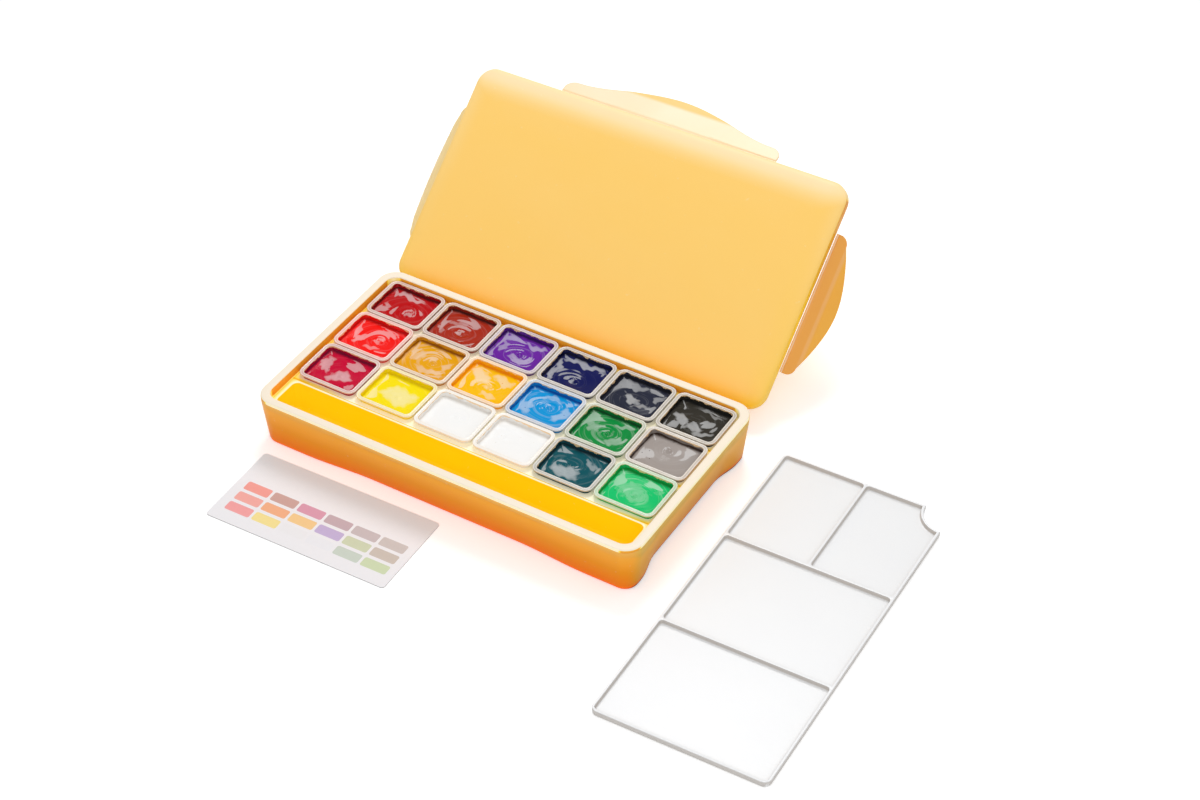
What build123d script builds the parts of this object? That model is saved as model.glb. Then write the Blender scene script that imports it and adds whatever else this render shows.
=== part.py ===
from build123d import *
import math
import os

os.makedirs("parts", exist_ok=True)

# Gouache paint set box, standing open as it is used: the lid is off and leans behind the box,
# the mixing palette lies to the right and the colour chart in front.
# Millimetres. X runs along the box, +Y to the back where the lid stands, +Z up.
# The origin is the middle of the case's underside, on the table.

# ---------------------------------------------------------------- driving dimensions
# Cups, which set the size of everything round them
columns = 6
rows = 3
cup_length = 44.6
cup_width = 38.4
cup_corner = 6.0
cup_lip = 1.8
cup_lip_thickness = 1.3
cup_wall = 1.0
cup_draft = 2.5
cup_bevel = 3.2
cup_gap_x = 1.1
cup_gap_y = 0.8

# Paint
paint_drop = 3.9
paint_clearance = 0.1
paint_meniscus = 0.6

# Tray
tray_wall = 1.5
tray_standoff = 6.0
deck_drop = 6.5
cup_drop = 2.5
pocket_clearance = 0.5
cavity_corner = 8.5
end_margin = 2.45
back_margin = 0.65
trough_gap = 2.7
trough_width = 25.0
trough_end_margin = 3.5
trough_corner = 5.0
trough_draft = 2.0
front_margin = 3.15
rim_width = 6.0
rim_thickness = 2.4
rim_edge_radius = 0.8
rim_rib_height = 3.0
rim_rib_clearance = 0.3

# Case
case_height = 38.0
wall = 2.0
floor_thickness = 2.0
case_corner = 13.0
foot_inset = 3.5
foot_bevel = 1.6
foot_height = 2.4
side_waist = 2.7
side_waist_flat = 112.0
side_waist_ramp = 52.0
end_waist = 4.5
end_waist_flat = 78.0
end_waist_ramp = 24.0
snap_band = 5.0
snap_recess_depth = 1.0
snap_recess_height = 11.0

# Lid
lid_overhang_x = 0.5
lid_overhang_y = 2.1
lid_corner = 13.0
lid_wall = 1.6
lid_skirt = 6.0
crown_rise = 4.5
crown_width = 17.0
crown_steps = 4
crown_corner_loss = 0.3
lid_lip_clearance = 0.6
lid_lip_thickness = 1.4
lid_lip_depth = 2.5

# Snap flaps
flap_thickness = 1.6
hinge_gap = 0.6
hinge_drop = 0.4
web_thickness = 0.5
web_length = 1.4
hinge_bevel = 0.9
flap_bend = 18.0
flap_bend_radius = 10.0
flap_play = 0.3
bead_bite = 0.7
bead_width = 2.4
bead_margin = 14.0
long_flap_length = 170.0
long_flap_end = 12.0
long_flap_corner = 8.0
long_flap_crease = 17.0
long_flap_tip = 27.6
long_flap_slope = 0.0
short_flap_length = 101.5
short_flap_end = 9.5
short_flap_corner = 6.5
short_flap_crease = 10.0
short_flap_tip = 22.0
short_flap_slope = 0.44
rear_flap_open = 27.0
left_flap_open = 38.0
right_flap_open = 36.0
front_flap_folded = 113.7

# Where the lid stands
lid_tilt = 39.4
lid_turn = 0.74
lid_offset_x = -8.8
lid_distance = 21.4

# Mixing palette
palette_length = 261.0
palette_width = 120.0
palette_height = 4.5
palette_floor = 1.5
palette_corner = 5.0
palette_rim = 1.8
palette_rib = 1.8
palette_notch = 18.0
palette_rows = 3
palette_gap = 22.8
palette_y = -43.7
palette_turn = 1.3

# Colour chart
card_length = 137.1
card_width = 67.3
card_thickness = 0.5
card_corner = 2.5
card_x = -63.1
card_gap = 6.5
card_turn = 1.25

# ---------------------------------------------------------------- sizes that follow
pitch_x = cup_length + cup_gap_x
pitch_y = cup_width + cup_gap_y
grid_length = columns * cup_length + (columns - 1) * cup_gap_x
grid_width = rows * cup_width + (rows - 1) * cup_gap_y

cavity_length = grid_length + 2 * end_margin
cavity_width = back_margin + grid_width + trough_gap + trough_width + front_margin
case_length = cavity_length + 2 * rim_width
case_width = cavity_width + 2 * rim_width

case_top = case_height - rim_thickness
snap_height = case_height - snap_band
deck_height = case_height - deck_drop
well_floor = floor_thickness + tray_standoff + tray_wall
well_depth = deck_height - well_floor
grid_y = cavity_width / 2 - back_margin - grid_width / 2
trough_length = cavity_length - 2 * trough_end_margin
trough_y = -cavity_width / 2 + front_margin + trough_width / 2

cup_height = case_height - cup_drop - well_floor
cup_body_length = cup_length - 2 * cup_lip
cup_body_width = cup_width - 2 * cup_lip

lid_length = case_length + 2 * lid_overhang_x
lid_width = case_width + 2 * lid_overhang_y

palette_x = case_length / 2 + palette_gap + palette_width / 2
card_y = -(case_width / 2 + card_gap + card_width / 2)


# ---------------------------------------------------------------- shared forms
def rounded_face(length, width, corner, z):
    """Rounded rectangle, centred on the origin at height z."""
    return Pos(0, 0, z) * RectangleRounded(length, width, corner)


def tapered_block(length, width, corner, top, depth, inset):
    """Block with rounded corners that narrows by inset on each side over its depth."""
    foot = rounded_face(length - 2 * inset, width - 2 * inset, corner - inset, top - depth)
    return loft([foot, rounded_face(length, width, corner, top)], ruled=True)


def rounded_ring(length, width, corner, thickness, bottom, top):
    """Upright wall that follows a rounded rectangle, thickness measured inwards."""
    ring = RectangleRounded(length, width, corner) - RectangleRounded(
        length - 2 * thickness, width - 2 * thickness, corner - thickness
    )
    return Pos(0, 0, bottom) * extrude(ring, top - bottom)


def bevelled_block(length, width, bevel, top, depth, angle):
    """Block with bevelled corners whose sides draw in by the draft angle below its top."""
    outline = chamfer(Rectangle(length, width).vertices(), bevel)
    block = Pos(0, 0, top - depth) * extrude(outline, depth)
    return draft(block.faces().filter_by(Axis.Z, reverse=True), Plane.XY.offset(top), -angle)


def bevel_inside(bevel, offset):
    """Bevel of an outline drawn evenly inwards by the offset, so that the wall between stays even."""
    return bevel - (2 - math.sqrt(2)) * offset


def draft_inset(depth, angle):
    return depth * math.tan(math.radians(angle))


# ---------------------------------------------------------------- case
def waisted_side(span, flat, ramp, depth):
    """One side of the case's outline: straight, an S-shaped ramp inwards, flat, and out again."""
    inner = flat / 2
    outer = inner + ramp
    level = ((1, 0), (1, 0))
    return [
        Line((-span / 2, 0), (-outer, 0)),
        Spline((-outer, 0), (-inner, depth), tangents=level),
        Line((-inner, depth), (inner, depth)),
        Spline((inner, depth), (outer, 0), tangents=level),
        Line((outer, 0), (span / 2, 0)),
    ]


def waisted_face(inset, z):
    """Outline of the case at height z, drawn in by inset. Draft and waists fade out at the snap band."""
    fade = 1 - z / snap_height
    drawn_in = inset + foot_inset * fade
    length = case_length - 2 * drawn_in
    width = case_width - 2 * drawn_in
    corner = case_corner - drawn_in
    long_side = waisted_side(length - 2 * corner, side_waist_flat, side_waist_ramp, side_waist * fade)
    short_side = waisted_side(width - 2 * corner, end_waist_flat, end_waist_ramp, end_waist * fade)
    edges = []
    for turn in range(4):
        side, span, half = (long_side, length, width / 2) if turn % 2 == 0 else (short_side, width, length / 2)
        place = Rot(0, 0, 90 * turn)
        edges += [place * Pos(0, -half) * edge for edge in side]
        edges.append(place * CenterArc((span / 2 - corner, corner - half), corner, -90, 90))
    return Pos(0, 0, z) * make_face(edges)


def skirt_block(inset, levels):
    """Solid form of the case, drawn in by inset, through outlines at these (height, extra inset) levels."""
    skirt = loft([waisted_face(inset + extra, z) for z, extra in levels], ruled=True)
    band = extrude(waisted_face(inset, snap_height), case_top - snap_height)
    return skirt + band


def snap_recesses():
    """Shallow pockets under the snap band, one per flap, that the flaps' beads click into."""
    reach = 2 * snap_recess_depth
    cutters = []
    for turn in range(4):
        along = long_flap_length if turn % 2 == 0 else short_flap_length
        half = case_width / 2 if turn % 2 == 0 else case_length / 2
        block = Box(along + 2 * flap_play, reach, snap_recess_height, align=(Align.CENTER, Align.CENTER, Align.MAX))
        cutters.append(Rot(0, 0, 90 * turn) * Pos(0, -half, snap_height) * block)
    return cutters


def make_case():
    outer = skirt_block(0, [(0, foot_bevel), (foot_height, 0), (snap_height, 0)])
    hollow = skirt_block(wall, [(floor_thickness, 0), (snap_height, 0)])
    return outer - hollow - snap_recesses()


# ---------------------------------------------------------------- tray
def pocket_block(thickness):
    """Space of one cup's pocket below the deck, or its outer form when a wall thickness is given."""
    above_deck = well_floor + cup_height - deck_height
    grow = pocket_clearance + thickness - draft_inset(above_deck, cup_draft)
    return bevelled_block(
        cup_body_length + 2 * grow,
        cup_body_width + 2 * grow,
        bevel_inside(cup_bevel, -grow),
        deck_height,
        well_depth + thickness,
        cup_draft,
    )


def cup_places():
    """Centres of the cups, back row first, left to right."""
    return [
        ((column - (columns - 1) / 2) * pitch_x, grid_y + ((rows - 1) / 2 - row) * pitch_y)
        for row in range(rows)
        for column in range(columns)
    ]


def trough_block(thickness):
    """Space of the brush trough below the deck, or its outer form when a wall thickness is given."""
    depth = well_depth + thickness
    return Pos(0, trough_y) * tapered_block(
        trough_length + 2 * thickness,
        trough_width + 2 * thickness,
        trough_corner + thickness,
        deck_height,
        depth,
        draft_inset(depth, trough_draft),
    )


def make_tray():
    cap = Pos(0, 0, case_top) * extrude(RectangleRounded(case_length, case_width, case_corner), rim_thickness)
    cap = fillet(cap.faces().sort_by(Axis.Z)[-1].edges(), rim_edge_radius)
    tub = Pos(0, 0, deck_height - tray_wall) * extrude(
        RectangleRounded(cavity_length + 2 * tray_wall, cavity_width + 2 * tray_wall, cavity_corner + tray_wall),
        case_top - deck_height + tray_wall,
    )
    cavity = Pos(0, 0, deck_height) * extrude(RectangleRounded(cavity_length, cavity_width, cavity_corner), deck_drop)
    rib_inset = wall + rim_rib_clearance
    rib = rounded_ring(
        case_length - 2 * rib_inset,
        case_width - 2 * rib_inset,
        case_corner - rib_inset,
        tray_wall,
        case_top - rim_rib_height,
        case_top,
    )
    places = cup_places()
    shells = [Pos(x, y) * pocket_block(tray_wall) for x, y in places]
    hollows = [Pos(x, y) * pocket_block(0) for x, y in places]
    return cap + tub + rib + shells + trough_block(tray_wall) - cavity - hollows - trough_block(0)


# ---------------------------------------------------------------- cups and paint
def make_cup():
    """Thin tapered cup with a flat lip round its mouth, standing on the origin."""
    body = bevelled_block(cup_body_length, cup_body_width, cup_bevel, cup_height, cup_height, cup_draft)
    lip = Pos(0, 0, cup_height - cup_lip_thickness) * extrude(
        RectangleRounded(cup_length, cup_width, cup_corner), cup_lip_thickness
    )
    hollow = bevelled_block(
        cup_body_length - 2 * cup_wall,
        cup_body_width - 2 * cup_wall,
        bevel_inside(cup_bevel, cup_wall),
        cup_height,
        cup_height - cup_wall,
        cup_draft,
    )
    return body + lip - hollow


def make_paint():
    """Fill of one cup, its edge drawn down a little where it meets the wall."""
    drawn_in = cup_wall + paint_clearance + draft_inset(paint_drop, cup_draft)
    level = cup_height - paint_drop
    fill = bevelled_block(
        cup_body_length - 2 * drawn_in,
        cup_body_width - 2 * drawn_in,
        bevel_inside(cup_bevel, drawn_in),
        level,
        level - cup_wall,
        cup_draft,
    )
    return chamfer(fill.faces().sort_by(Axis.Z)[-1].edges(), paint_meniscus)


# ---------------------------------------------------------------- lid
def crowned_block(inset, skirt):
    """The lid's outer form over its parting plane, or its hollow when drawn in by the wall."""
    length = lid_length - 2 * inset
    width = lid_width - 2 * inset
    corner = lid_corner - inset
    faces = [rounded_face(length, width, corner, 0)]
    for step in range(crown_steps + 1):
        angle = math.radians(90 * step / crown_steps)
        shrink = crown_width * (1 - math.cos(angle))
        faces.append(
            rounded_face(
                length - 2 * shrink,
                width - 2 * shrink,
                corner - crown_corner_loss * shrink,
                skirt + crown_rise * math.sin(angle),
            )
        )
    return loft(faces, ruled=True)


def make_lid():
    """Crowned cover with a rib that locates it inside the rim. Its parting plane is z = 0."""
    outer = crowned_block(0, lid_skirt)
    shell = outer - crowned_block(lid_wall, lid_skirt - lid_wall)
    lip = rounded_ring(
        cavity_length - 2 * lid_lip_clearance,
        cavity_width - 2 * lid_lip_clearance,
        cavity_corner - lid_lip_clearance,
        lid_lip_thickness,
        -lid_lip_depth,
        lid_skirt + crown_rise,
    )
    below = Pos(0, 0, -lid_lip_depth / 2) * Box(lid_length, lid_width, lid_lip_depth)
    return shell + (lip & (outer + below))


# ---------------------------------------------------------------- snap flaps
def flap_outline(length, end, corner, tip, slope):
    """Plan of a flap: rounded ends, and an edge that swells smoothly to the finger tab in the middle."""
    half = length / 2
    shoulder = half - corner
    edges = [
        Line((-half, -web_thickness), (-half, end - corner)),
        RadiusArc((-half, end - corner), (-shoulder, end), corner),
        Spline((-shoulder, end), (0, tip), tangents=((1, slope), (1, 0))),
        Spline((0, tip), (shoulder, end), tangents=((1, 0), (1, -slope))),
        RadiusArc((shoulder, end), (half, end - corner), corner),
        Line((half, end - corner), (half, -web_thickness)),
        Line((half, -web_thickness), (-half, -web_thickness)),
    ]
    return make_face(edges)


def flap_section(crease, reach, bead_height):
    """Section across a flap: thin hinge web, panel that thickens from it, bent tab, and snap bead.

    It is drawn in XY with X away from the hinge and Y towards the outer face."""
    arc_length = flap_bend_radius * math.sin(math.radians(flap_bend))
    panel = Line((web_length, 0), (crease, 0))
    bend = CenterArc((crease, -flap_bend_radius), flap_bend_radius, 90, -flap_bend)
    tab = Line(bend @ 1, (bend @ 1) + (bend % 1) * (reach - crease - arc_length))
    strip = trace(panel + bend + tab, flap_thickness)
    strip -= Polygon(
        (web_length, -web_thickness / 2),
        (web_length, -flap_thickness),
        (web_length + hinge_bevel, -flap_thickness),
        (web_length + hinge_bevel, -flap_thickness / 2),
        align=None,
    )
    web = Pos(web_length / 2, 0) * Rectangle(web_length + web_thickness, web_thickness)
    bead_start = snap_band + flap_play
    bead = Polygon(
        (bead_start, 0),
        (bead_start, -flap_thickness / 2 - bead_height),
        (bead_start + bead_width / 3, -flap_thickness / 2 - bead_height),
        (bead_start + bead_width, -flap_thickness / 2),
        (bead_start + bead_width, 0),
        align=None,
    )
    return strip + web, bead


def make_flap(length, end, corner, crease, tip, slope, overhang):
    """Snap flap, laid flat: hinge axis along X through the origin, panel towards +Y."""
    bead_height = overhang + hinge_gap - flap_thickness / 2 + bead_bite
    section, bead = flap_section(crease, 2 * tip, bead_height)
    upright = Plane(origin=(0, 0, 0), x_dir=(0, 1, 0), z_dir=(1, 0, 0))
    strip = extrude(upright * section, length / 2, both=True)
    rail = extrude(upright * bead, length / 2 - bead_margin, both=True)
    outline = extrude(flap_outline(length, end, corner, tip, slope), 2 * tip, both=True)
    return (strip & outline) + rail


# ---------------------------------------------------------------- palette and card
def palette_wells():
    """Plan of each well: a rounded rectangle between the rim and the ribs."""
    inner_length = palette_length - 2 * palette_rim
    inner_width = palette_width - 2 * palette_rim
    well_length = (inner_length - (palette_rows - 1) * palette_rib) / palette_rows
    half_width = (inner_width - palette_rib) / 2
    wells = []
    for row in range(palette_rows):
        y = (row - (palette_rows - 1) / 2) * (well_length + palette_rib)
        if row < palette_rows - 1:
            wells.append(Pos(0, y) * RectangleRounded(inner_width, well_length, palette_corner / 2))
        else:
            for side in (-1, 1):
                x = side * (half_width + palette_rib) / 2
                wells.append(Pos(x, y) * RectangleRounded(half_width, well_length, palette_corner / 2))
    return wells


def make_palette():
    """Flat palette with a raised rim and ribs, and a finger notch at its far right corner."""
    corner = Pos(palette_width / 2, palette_length / 2)
    plate = RectangleRounded(palette_width, palette_length, palette_corner) - corner * Circle(palette_notch)
    solid = extrude(plate, palette_height)
    keep_out = corner * Circle(palette_notch + palette_rim)
    for well in palette_wells():
        solid -= Pos(0, 0, palette_floor) * extrude(well - keep_out, palette_height)
    return solid


def make_card():
    return extrude(RectangleRounded(card_length, card_width, card_corner), card_thickness)


# ---------------------------------------------------------------- assembly
def flap_place(turn, half, angle):
    """Place of a flap on the lid: turned to its side, at its hinge, bent down by the angle."""
    return Rot(0, 0, turn) * Pos(0, half + hinge_gap, -hinge_drop) * Rot(-angle, 0, 0)


def assemble():
    """Every node of the set under its name, in place."""
    nodes = {"base_case": make_case(), "inner_tray": make_tray()}

    cup = make_cup()
    paint = make_paint()
    for number, (x, y) in enumerate(cup_places(), start=1):
        seat = Pos(x, y, well_floor)
        nodes[f"cup_{number:02d}"] = seat * cup
        nodes[f"paint_{number:02d}"] = seat * paint

    long_flap = make_flap(
        long_flap_length,
        long_flap_end,
        long_flap_corner,
        long_flap_crease,
        long_flap_tip,
        long_flap_slope,
        lid_overhang_y,
    )
    short_flap = make_flap(
        short_flap_length,
        short_flap_end,
        short_flap_corner,
        short_flap_crease,
        short_flap_tip,
        short_flap_slope,
        lid_overhang_x,
    )
    on_lid = {
        "lid_cover": make_lid(),
        "flap_rear": flap_place(0, lid_width / 2, rear_flap_open) * long_flap,
        "flap_left": flap_place(90, lid_length / 2, left_flap_open) * short_flap,
        "flap_front": flap_place(180, lid_width / 2, front_flap_folded) * long_flap,
        "flap_right": flap_place(270, lid_length / 2, right_flap_open) * short_flap,
    }
    # The lid leans back with its lower edge behind the case and stands on the folded front flap.
    tilted = Rot(0, 0, lid_turn) * Rot(lid_tilt, 0, 0) * Pos(0, lid_width / 2)
    lift = -(tilted * on_lid["flap_front"]).bounding_box().min.Z
    lid_place = Pos(lid_offset_x, case_width / 2 + lid_distance, lift) * tilted
    for name, shape in on_lid.items():
        nodes[name] = lid_place * shape

    nodes["mixing_palette"] = Pos(palette_x, palette_y) * Rot(0, 0, palette_turn) * make_palette()
    nodes["colour_chart"] = Pos(card_x, card_y) * Rot(0, 0, card_turn) * make_card()
    return nodes


for name, shape in assemble().items():
    export_step(shape, f"parts/{name}.step")
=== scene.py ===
# %% [markdown]
# # A gouache paint set, standing open
# The set is a shallow plastic case with a moulded tray. The tray holds eighteen soft cups of
# paint and a trough for brushes. The lid is off and leans behind the case on its folded flap,
# a flat mixing palette lies to the right and a printed colour chart lies in front.
#
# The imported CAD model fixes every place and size. This script gives it its looks: smooth
# surfaces worked out with numpy, and materials made of nodes. One millimetre is 0.001 here.

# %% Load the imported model
import math

import bpy
import numpy as np
from mathutils import Matrix


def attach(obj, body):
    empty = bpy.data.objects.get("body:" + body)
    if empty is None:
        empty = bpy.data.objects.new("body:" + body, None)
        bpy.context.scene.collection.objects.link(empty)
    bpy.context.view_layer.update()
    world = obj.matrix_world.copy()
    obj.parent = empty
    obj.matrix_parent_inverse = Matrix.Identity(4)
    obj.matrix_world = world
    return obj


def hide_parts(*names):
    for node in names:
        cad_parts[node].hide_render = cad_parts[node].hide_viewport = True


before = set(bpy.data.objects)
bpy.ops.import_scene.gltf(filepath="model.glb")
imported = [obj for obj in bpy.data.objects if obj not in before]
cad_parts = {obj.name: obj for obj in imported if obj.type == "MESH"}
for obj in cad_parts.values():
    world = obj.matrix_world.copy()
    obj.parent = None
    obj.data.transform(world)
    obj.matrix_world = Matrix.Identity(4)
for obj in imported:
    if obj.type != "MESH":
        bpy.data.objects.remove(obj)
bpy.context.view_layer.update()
MM = 0.001

# %% [markdown]
# ## The camera
# The photograph was taken from the front right, 41 degrees above the table, with a long lens.
# The angles, the distance and the lens come from the straight edges of the case and the lid.
# The camera's own axes are written out, because they are all that a camera matrix holds.

# %% Camera
azimuth, elevation, roll = np.radians([30.86, 41.182, 0.093])
target = np.array([0.030278, 0.072047, 0.0])
distance = 1.804376
lens_pixels = 2659.626

back = np.array([
    math.sin(azimuth) * math.cos(elevation),
    -math.cos(azimuth) * math.cos(elevation),
    math.sin(elevation),
])
level_right = np.array([math.cos(azimuth), math.sin(azimuth), 0.0])
level_up = np.cross(back, level_right)
right = math.cos(roll) * level_right + math.sin(roll) * level_up
up = np.cross(back, right)

camera_data = bpy.data.cameras.new("camera")
camera_data.sensor_width = 36.0
camera_data.lens = lens_pixels / 1200 * camera_data.sensor_width
camera_data.clip_start = 0.1
camera_data.clip_end = 30.0
camera = bpy.data.objects.new("camera", camera_data)
bpy.context.scene.collection.objects.link(camera)
axes = np.eye(4)
axes[:3, :4] = np.column_stack([right, up, back, target + back * distance])
camera.matrix_world = Matrix(axes.tolist())
bpy.context.scene.camera = camera
bpy.context.scene.view_settings.view_transform = "Standard"
print("camera at", np.round(target + back * distance, 3))

# %% [markdown]
# ## Shader maths as Python
# A material is a graph of nodes, which soon becomes hard to read as code. Here a small class
# wraps a node's output so that `1 - mask * 0.5` adds the Math nodes by itself, and one method
# adds any other node from its type, its settings and its inputs.


# %% Materials toolkit
class Wire:
    """An output of a node. Arithmetic on it adds Math nodes and gives a new Wire."""

    def __init__(self, look, socket):
        self.look = look
        self.socket = socket

    def maths(self, operation, *values):
        return self.look.node("ShaderNodeMath", {"operation": operation}, *values)

    __add__ = __radd__ = lambda self, other: self.maths("ADD", self, other)
    __sub__ = lambda self, other: self.maths("SUBTRACT", self, other)
    __rsub__ = lambda self, other: self.maths("SUBTRACT", other, self)
    __mul__ = __rmul__ = lambda self, other: self.maths("MULTIPLY", self, other)
    __truediv__ = lambda self, other: self.maths("DIVIDE", self, other)
    __pow__ = lambda self, other: self.maths("POWER", self, other)
    __abs__ = lambda self: self.maths("ABSOLUTE", self)
    __gt__ = lambda self, other: self.maths("GREATER_THAN", self, other)
    largest = lambda self, other: self.maths("MAXIMUM", self, other)
    floor = lambda self: self.maths("FLOOR", self)

    def smooth(self, low, high):
        """0 below low, 1 above high, and an S-curve between; low may be the larger one."""
        kind = {"interpolation_type": "SMOOTHSTEP"}
        return self.look.node("ShaderNodeMapRange", kind, Value=self, From_Min=low, From_Max=high)


def srgb(red, green, blue):
    """A colour as a screen shows it, 0 to 255, turned into the linear light that nodes use."""
    part = np.array([red, green, blue]) / 255
    linear = np.where(part <= 0.04045, part / 12.92, ((part + 0.055) / 1.055) ** 2.4)
    return (*linear.tolist(), 1.0)


class Look:
    """A material in the making, or the nodes of another owner, such as the world."""

    def __init__(self, name, owner=None):
        self.material = owner or bpy.data.materials.new(name)
        self.material.use_nodes = True
        self.tree = self.material.node_tree
        self.tree.nodes.clear()

    def node(self, kind, settings=None, *values, output=0, **inputs):
        """Adds a node: settings first, then sockets by place or by name, as numbers or Wires."""
        made = self.tree.nodes.new(kind)
        for key, value in (settings or {}).items():
            if key == "stops":
                ramp = made.color_ramp.elements
                while len(ramp) < len(value):
                    ramp.new(1.0)
                for element, (place, colour) in zip(ramp, value):
                    element.position = place
                    element.color = colour
            elif key == "ramp":
                made.color_ramp.interpolation = value
            else:
                setattr(made, key, value)
        named = [(key.replace("_", " "), value) for key, value in inputs.items()]
        self.feed(made, [*enumerate(values), *named])
        return Wire(self, made.outputs[output]) if made.outputs else None

    def feed(self, made, sockets):
        """Links or sets each socket, given as (its place or name, a Wire or a value)."""
        for key, value in sockets:
            if isinstance(value, Wire):
                self.tree.links.new(value.socket, made.inputs[key])
            else:
                made.inputs[key].default_value = value

    def place(self, *, scale=(1.0, 1.0, 1.0), turn=(0.0, 0.0, 0.0), middle=(0.0, 0.0, 0.0)):
        """The point on the piece, in metres, as x, y and z from a middle, turned and scaled."""
        point = self.node("ShaderNodeTexCoord", output=3)
        moved = self.node("ShaderNodeVectorMath", {"operation": "SUBTRACT"}, point, middle)
        return self.node("ShaderNodeMapping", {}, Vector=moved, Rotation=turn, Scale=scale)

    def split(self, vector):
        """The x, y and z of a vector as three Wires."""
        parts = self.tree.nodes.new("ShaderNodeSeparateXYZ")
        self.tree.links.new(vector.socket, parts.inputs[0])
        return [Wire(self, socket) for socket in parts.outputs]

    def kept(self, name):
        """A value that the mesh keeps at each point, from 0 to 1."""
        return self.node("ShaderNodeAttribute", {"attribute_name": name}, output=2)

    def noise(self, point, scale, detail=3.0, roughness=0.5, distortion=0.0):
        """Cloudy noise from 0 to 1, with scale cells to each unit of the point."""
        return self.node(
            "ShaderNodeTexNoise", {},
            Vector=point, Scale=scale, Detail=detail, Roughness=roughness, Distortion=distortion,
        )

    def mix(self, share, first, second, blend="MIX"):
        """Colour between first and second. Its sockets are found by their place in the node."""
        made = self.tree.nodes.new("ShaderNodeMix")
        made.data_type = "RGBA"
        made.blend_type = blend
        self.feed(made, [(0, share), (6, first), (7, second)])
        return Wire(self, made.outputs[2])

    def bump(self, height, depth, strength=1.0):
        """A normal tilted by a height from 0 to 1, which stands for depth metres."""
        return self.node("ShaderNodeBump", {}, Height=height, Distance=depth, Strength=strength)

    def finish(self, **inputs):
        """Ends the material in a Principled shader."""
        shader = self.node("ShaderNodeBsdfPrincipled", {}, **inputs)
        self.node("ShaderNodeOutputMaterial", {}, Surface=shader)
        return self.material


# %% [markdown]
# ## Floor, light and air
# A product photograph on white has a bright sweep under the object, soft lamps, here one above
# and behind it and a wider one in front, and white cards all round. The world plays the cards.
# The floor is plain white, and takes the shadows and the warm light that the plastic throws on
# it. To the camera it also glows a little, and turns to an even white far from the object.

# %% Floor
floor_look = Look("white_sweep")
point = floor_look.place()
grain = floor_look.noise(point, 40.0, 2.0)
seen = floor_look.node("ShaderNodeLightPath", output="Is Camera Ray")
near_sweep = floor_look.node(
    "ShaderNodeBsdfPrincipled", {},
    Base_Color=floor_look.mix(grain, srgb(249, 249, 249), srgb(252, 252, 252)),
    Roughness=0.9,
    Specular_IOR_Level=0.0,
    Emission_Color=floor_look.mix(seen, (0, 0, 0, 1), (1, 1, 1, 1)),
    Emission_Strength=0.34,
)
far_sweep = floor_look.node("ShaderNodeEmission", {}, Color=(1, 1, 1, 1), Strength=1.0)
from_middle = floor_look.node("ShaderNodeVectorMath", {"operation": "LENGTH"}, point, output=1)
far_away = from_middle.smooth(0.35, 0.85) * seen
sweep = floor_look.node("ShaderNodeMixShader", {}, far_away, near_sweep, far_sweep)
floor_look.node("ShaderNodeOutputMaterial", {}, Surface=sweep)

floor_reach, floor_height = 6.0, -0.0001
square = [(-1, -1), (1, -1), (1, 1), (-1, 1)]
floor_mesh = bpy.data.meshes.new("floor")
floor_mesh.from_pydata(
    [(x * floor_reach, y * floor_reach, floor_height) for x, y in square], [], [(0, 1, 2, 3)]
)
floor_mesh.materials.append(floor_look.material)
floor = bpy.data.objects.new("floor", floor_mesh)
bpy.context.scene.collection.objects.link(floor)
print("floor of", 2 * floor_reach, "metres, just under height 0")


# %% Lamps and world
def soft_lamp(name, place, aim, size, power):
    """A square lamp at place that faces aim. Its own axes point away from what it lights."""
    data = bpy.data.lights.new(name, "AREA")
    data.shape = "SQUARE"
    data.size = size
    data.energy = power
    lamp = bpy.data.objects.new(name, data)
    bpy.context.scene.collection.objects.link(lamp)
    away = np.array(place) - np.array(aim)
    away = away / np.linalg.norm(away)
    side = np.cross([0.0, 0.0, 1.0], away)
    side = side / np.linalg.norm(side)
    axes = np.eye(4)
    axes[:3, :4] = np.column_stack([side, np.cross(away, side), away, place])
    lamp.matrix_world = Matrix(axes.tolist())


lit_place = (0.05, 0.05, 0.0)
soft_lamp("overhead_lamp", (-0.25, 0.70, 1.30), lit_place, size=0.5, power=7.0)
soft_lamp("front_lamp", (0.9, -1.1, 1.3), lit_place, size=1.2, power=7.2)

air = Look("white_cards", bpy.data.worlds.new("white_cards"))
bpy.context.scene.world = air.material
seen = air.node("ShaderNodeLightPath", output="Is Camera Ray")
mirrored = air.node("ShaderNodeLightPath", output="Is Glossy Ray")
through = air.node("ShaderNodeLightPath", output="Is Transmission Ray")
cards = air.node("ShaderNodeBackground", {}, Color=(0.98, 0.99, 1.0, 1.0), Strength=0.58)
backdrop = air.node("ShaderNodeBackground", {}, Color=(1.0, 1.0, 1.0, 1.0), Strength=1.0)
shown = seen.largest(mirrored.largest(through))
choice = air.node("ShaderNodeMixShader", {}, shown, cards, backdrop)
air.node("ShaderNodeOutputWorld", {}, Surface=choice)
print("two soft lamps, and a white world that is brighter where it is seen, mirrored or seen through")

# %% [markdown]
# ## Surfaces from rings
# Nearly every part here is a rounded rectangle carried up and down: the case, the rim, each cup,
# the lid and the palette. So the main tool makes rings of rounded rectangles from arrays of
# lengths, widths, corner radii and heights, and skins them. A profile that goes up the outside,
# over the top and down the inside gives faces that all point outwards.


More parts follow.
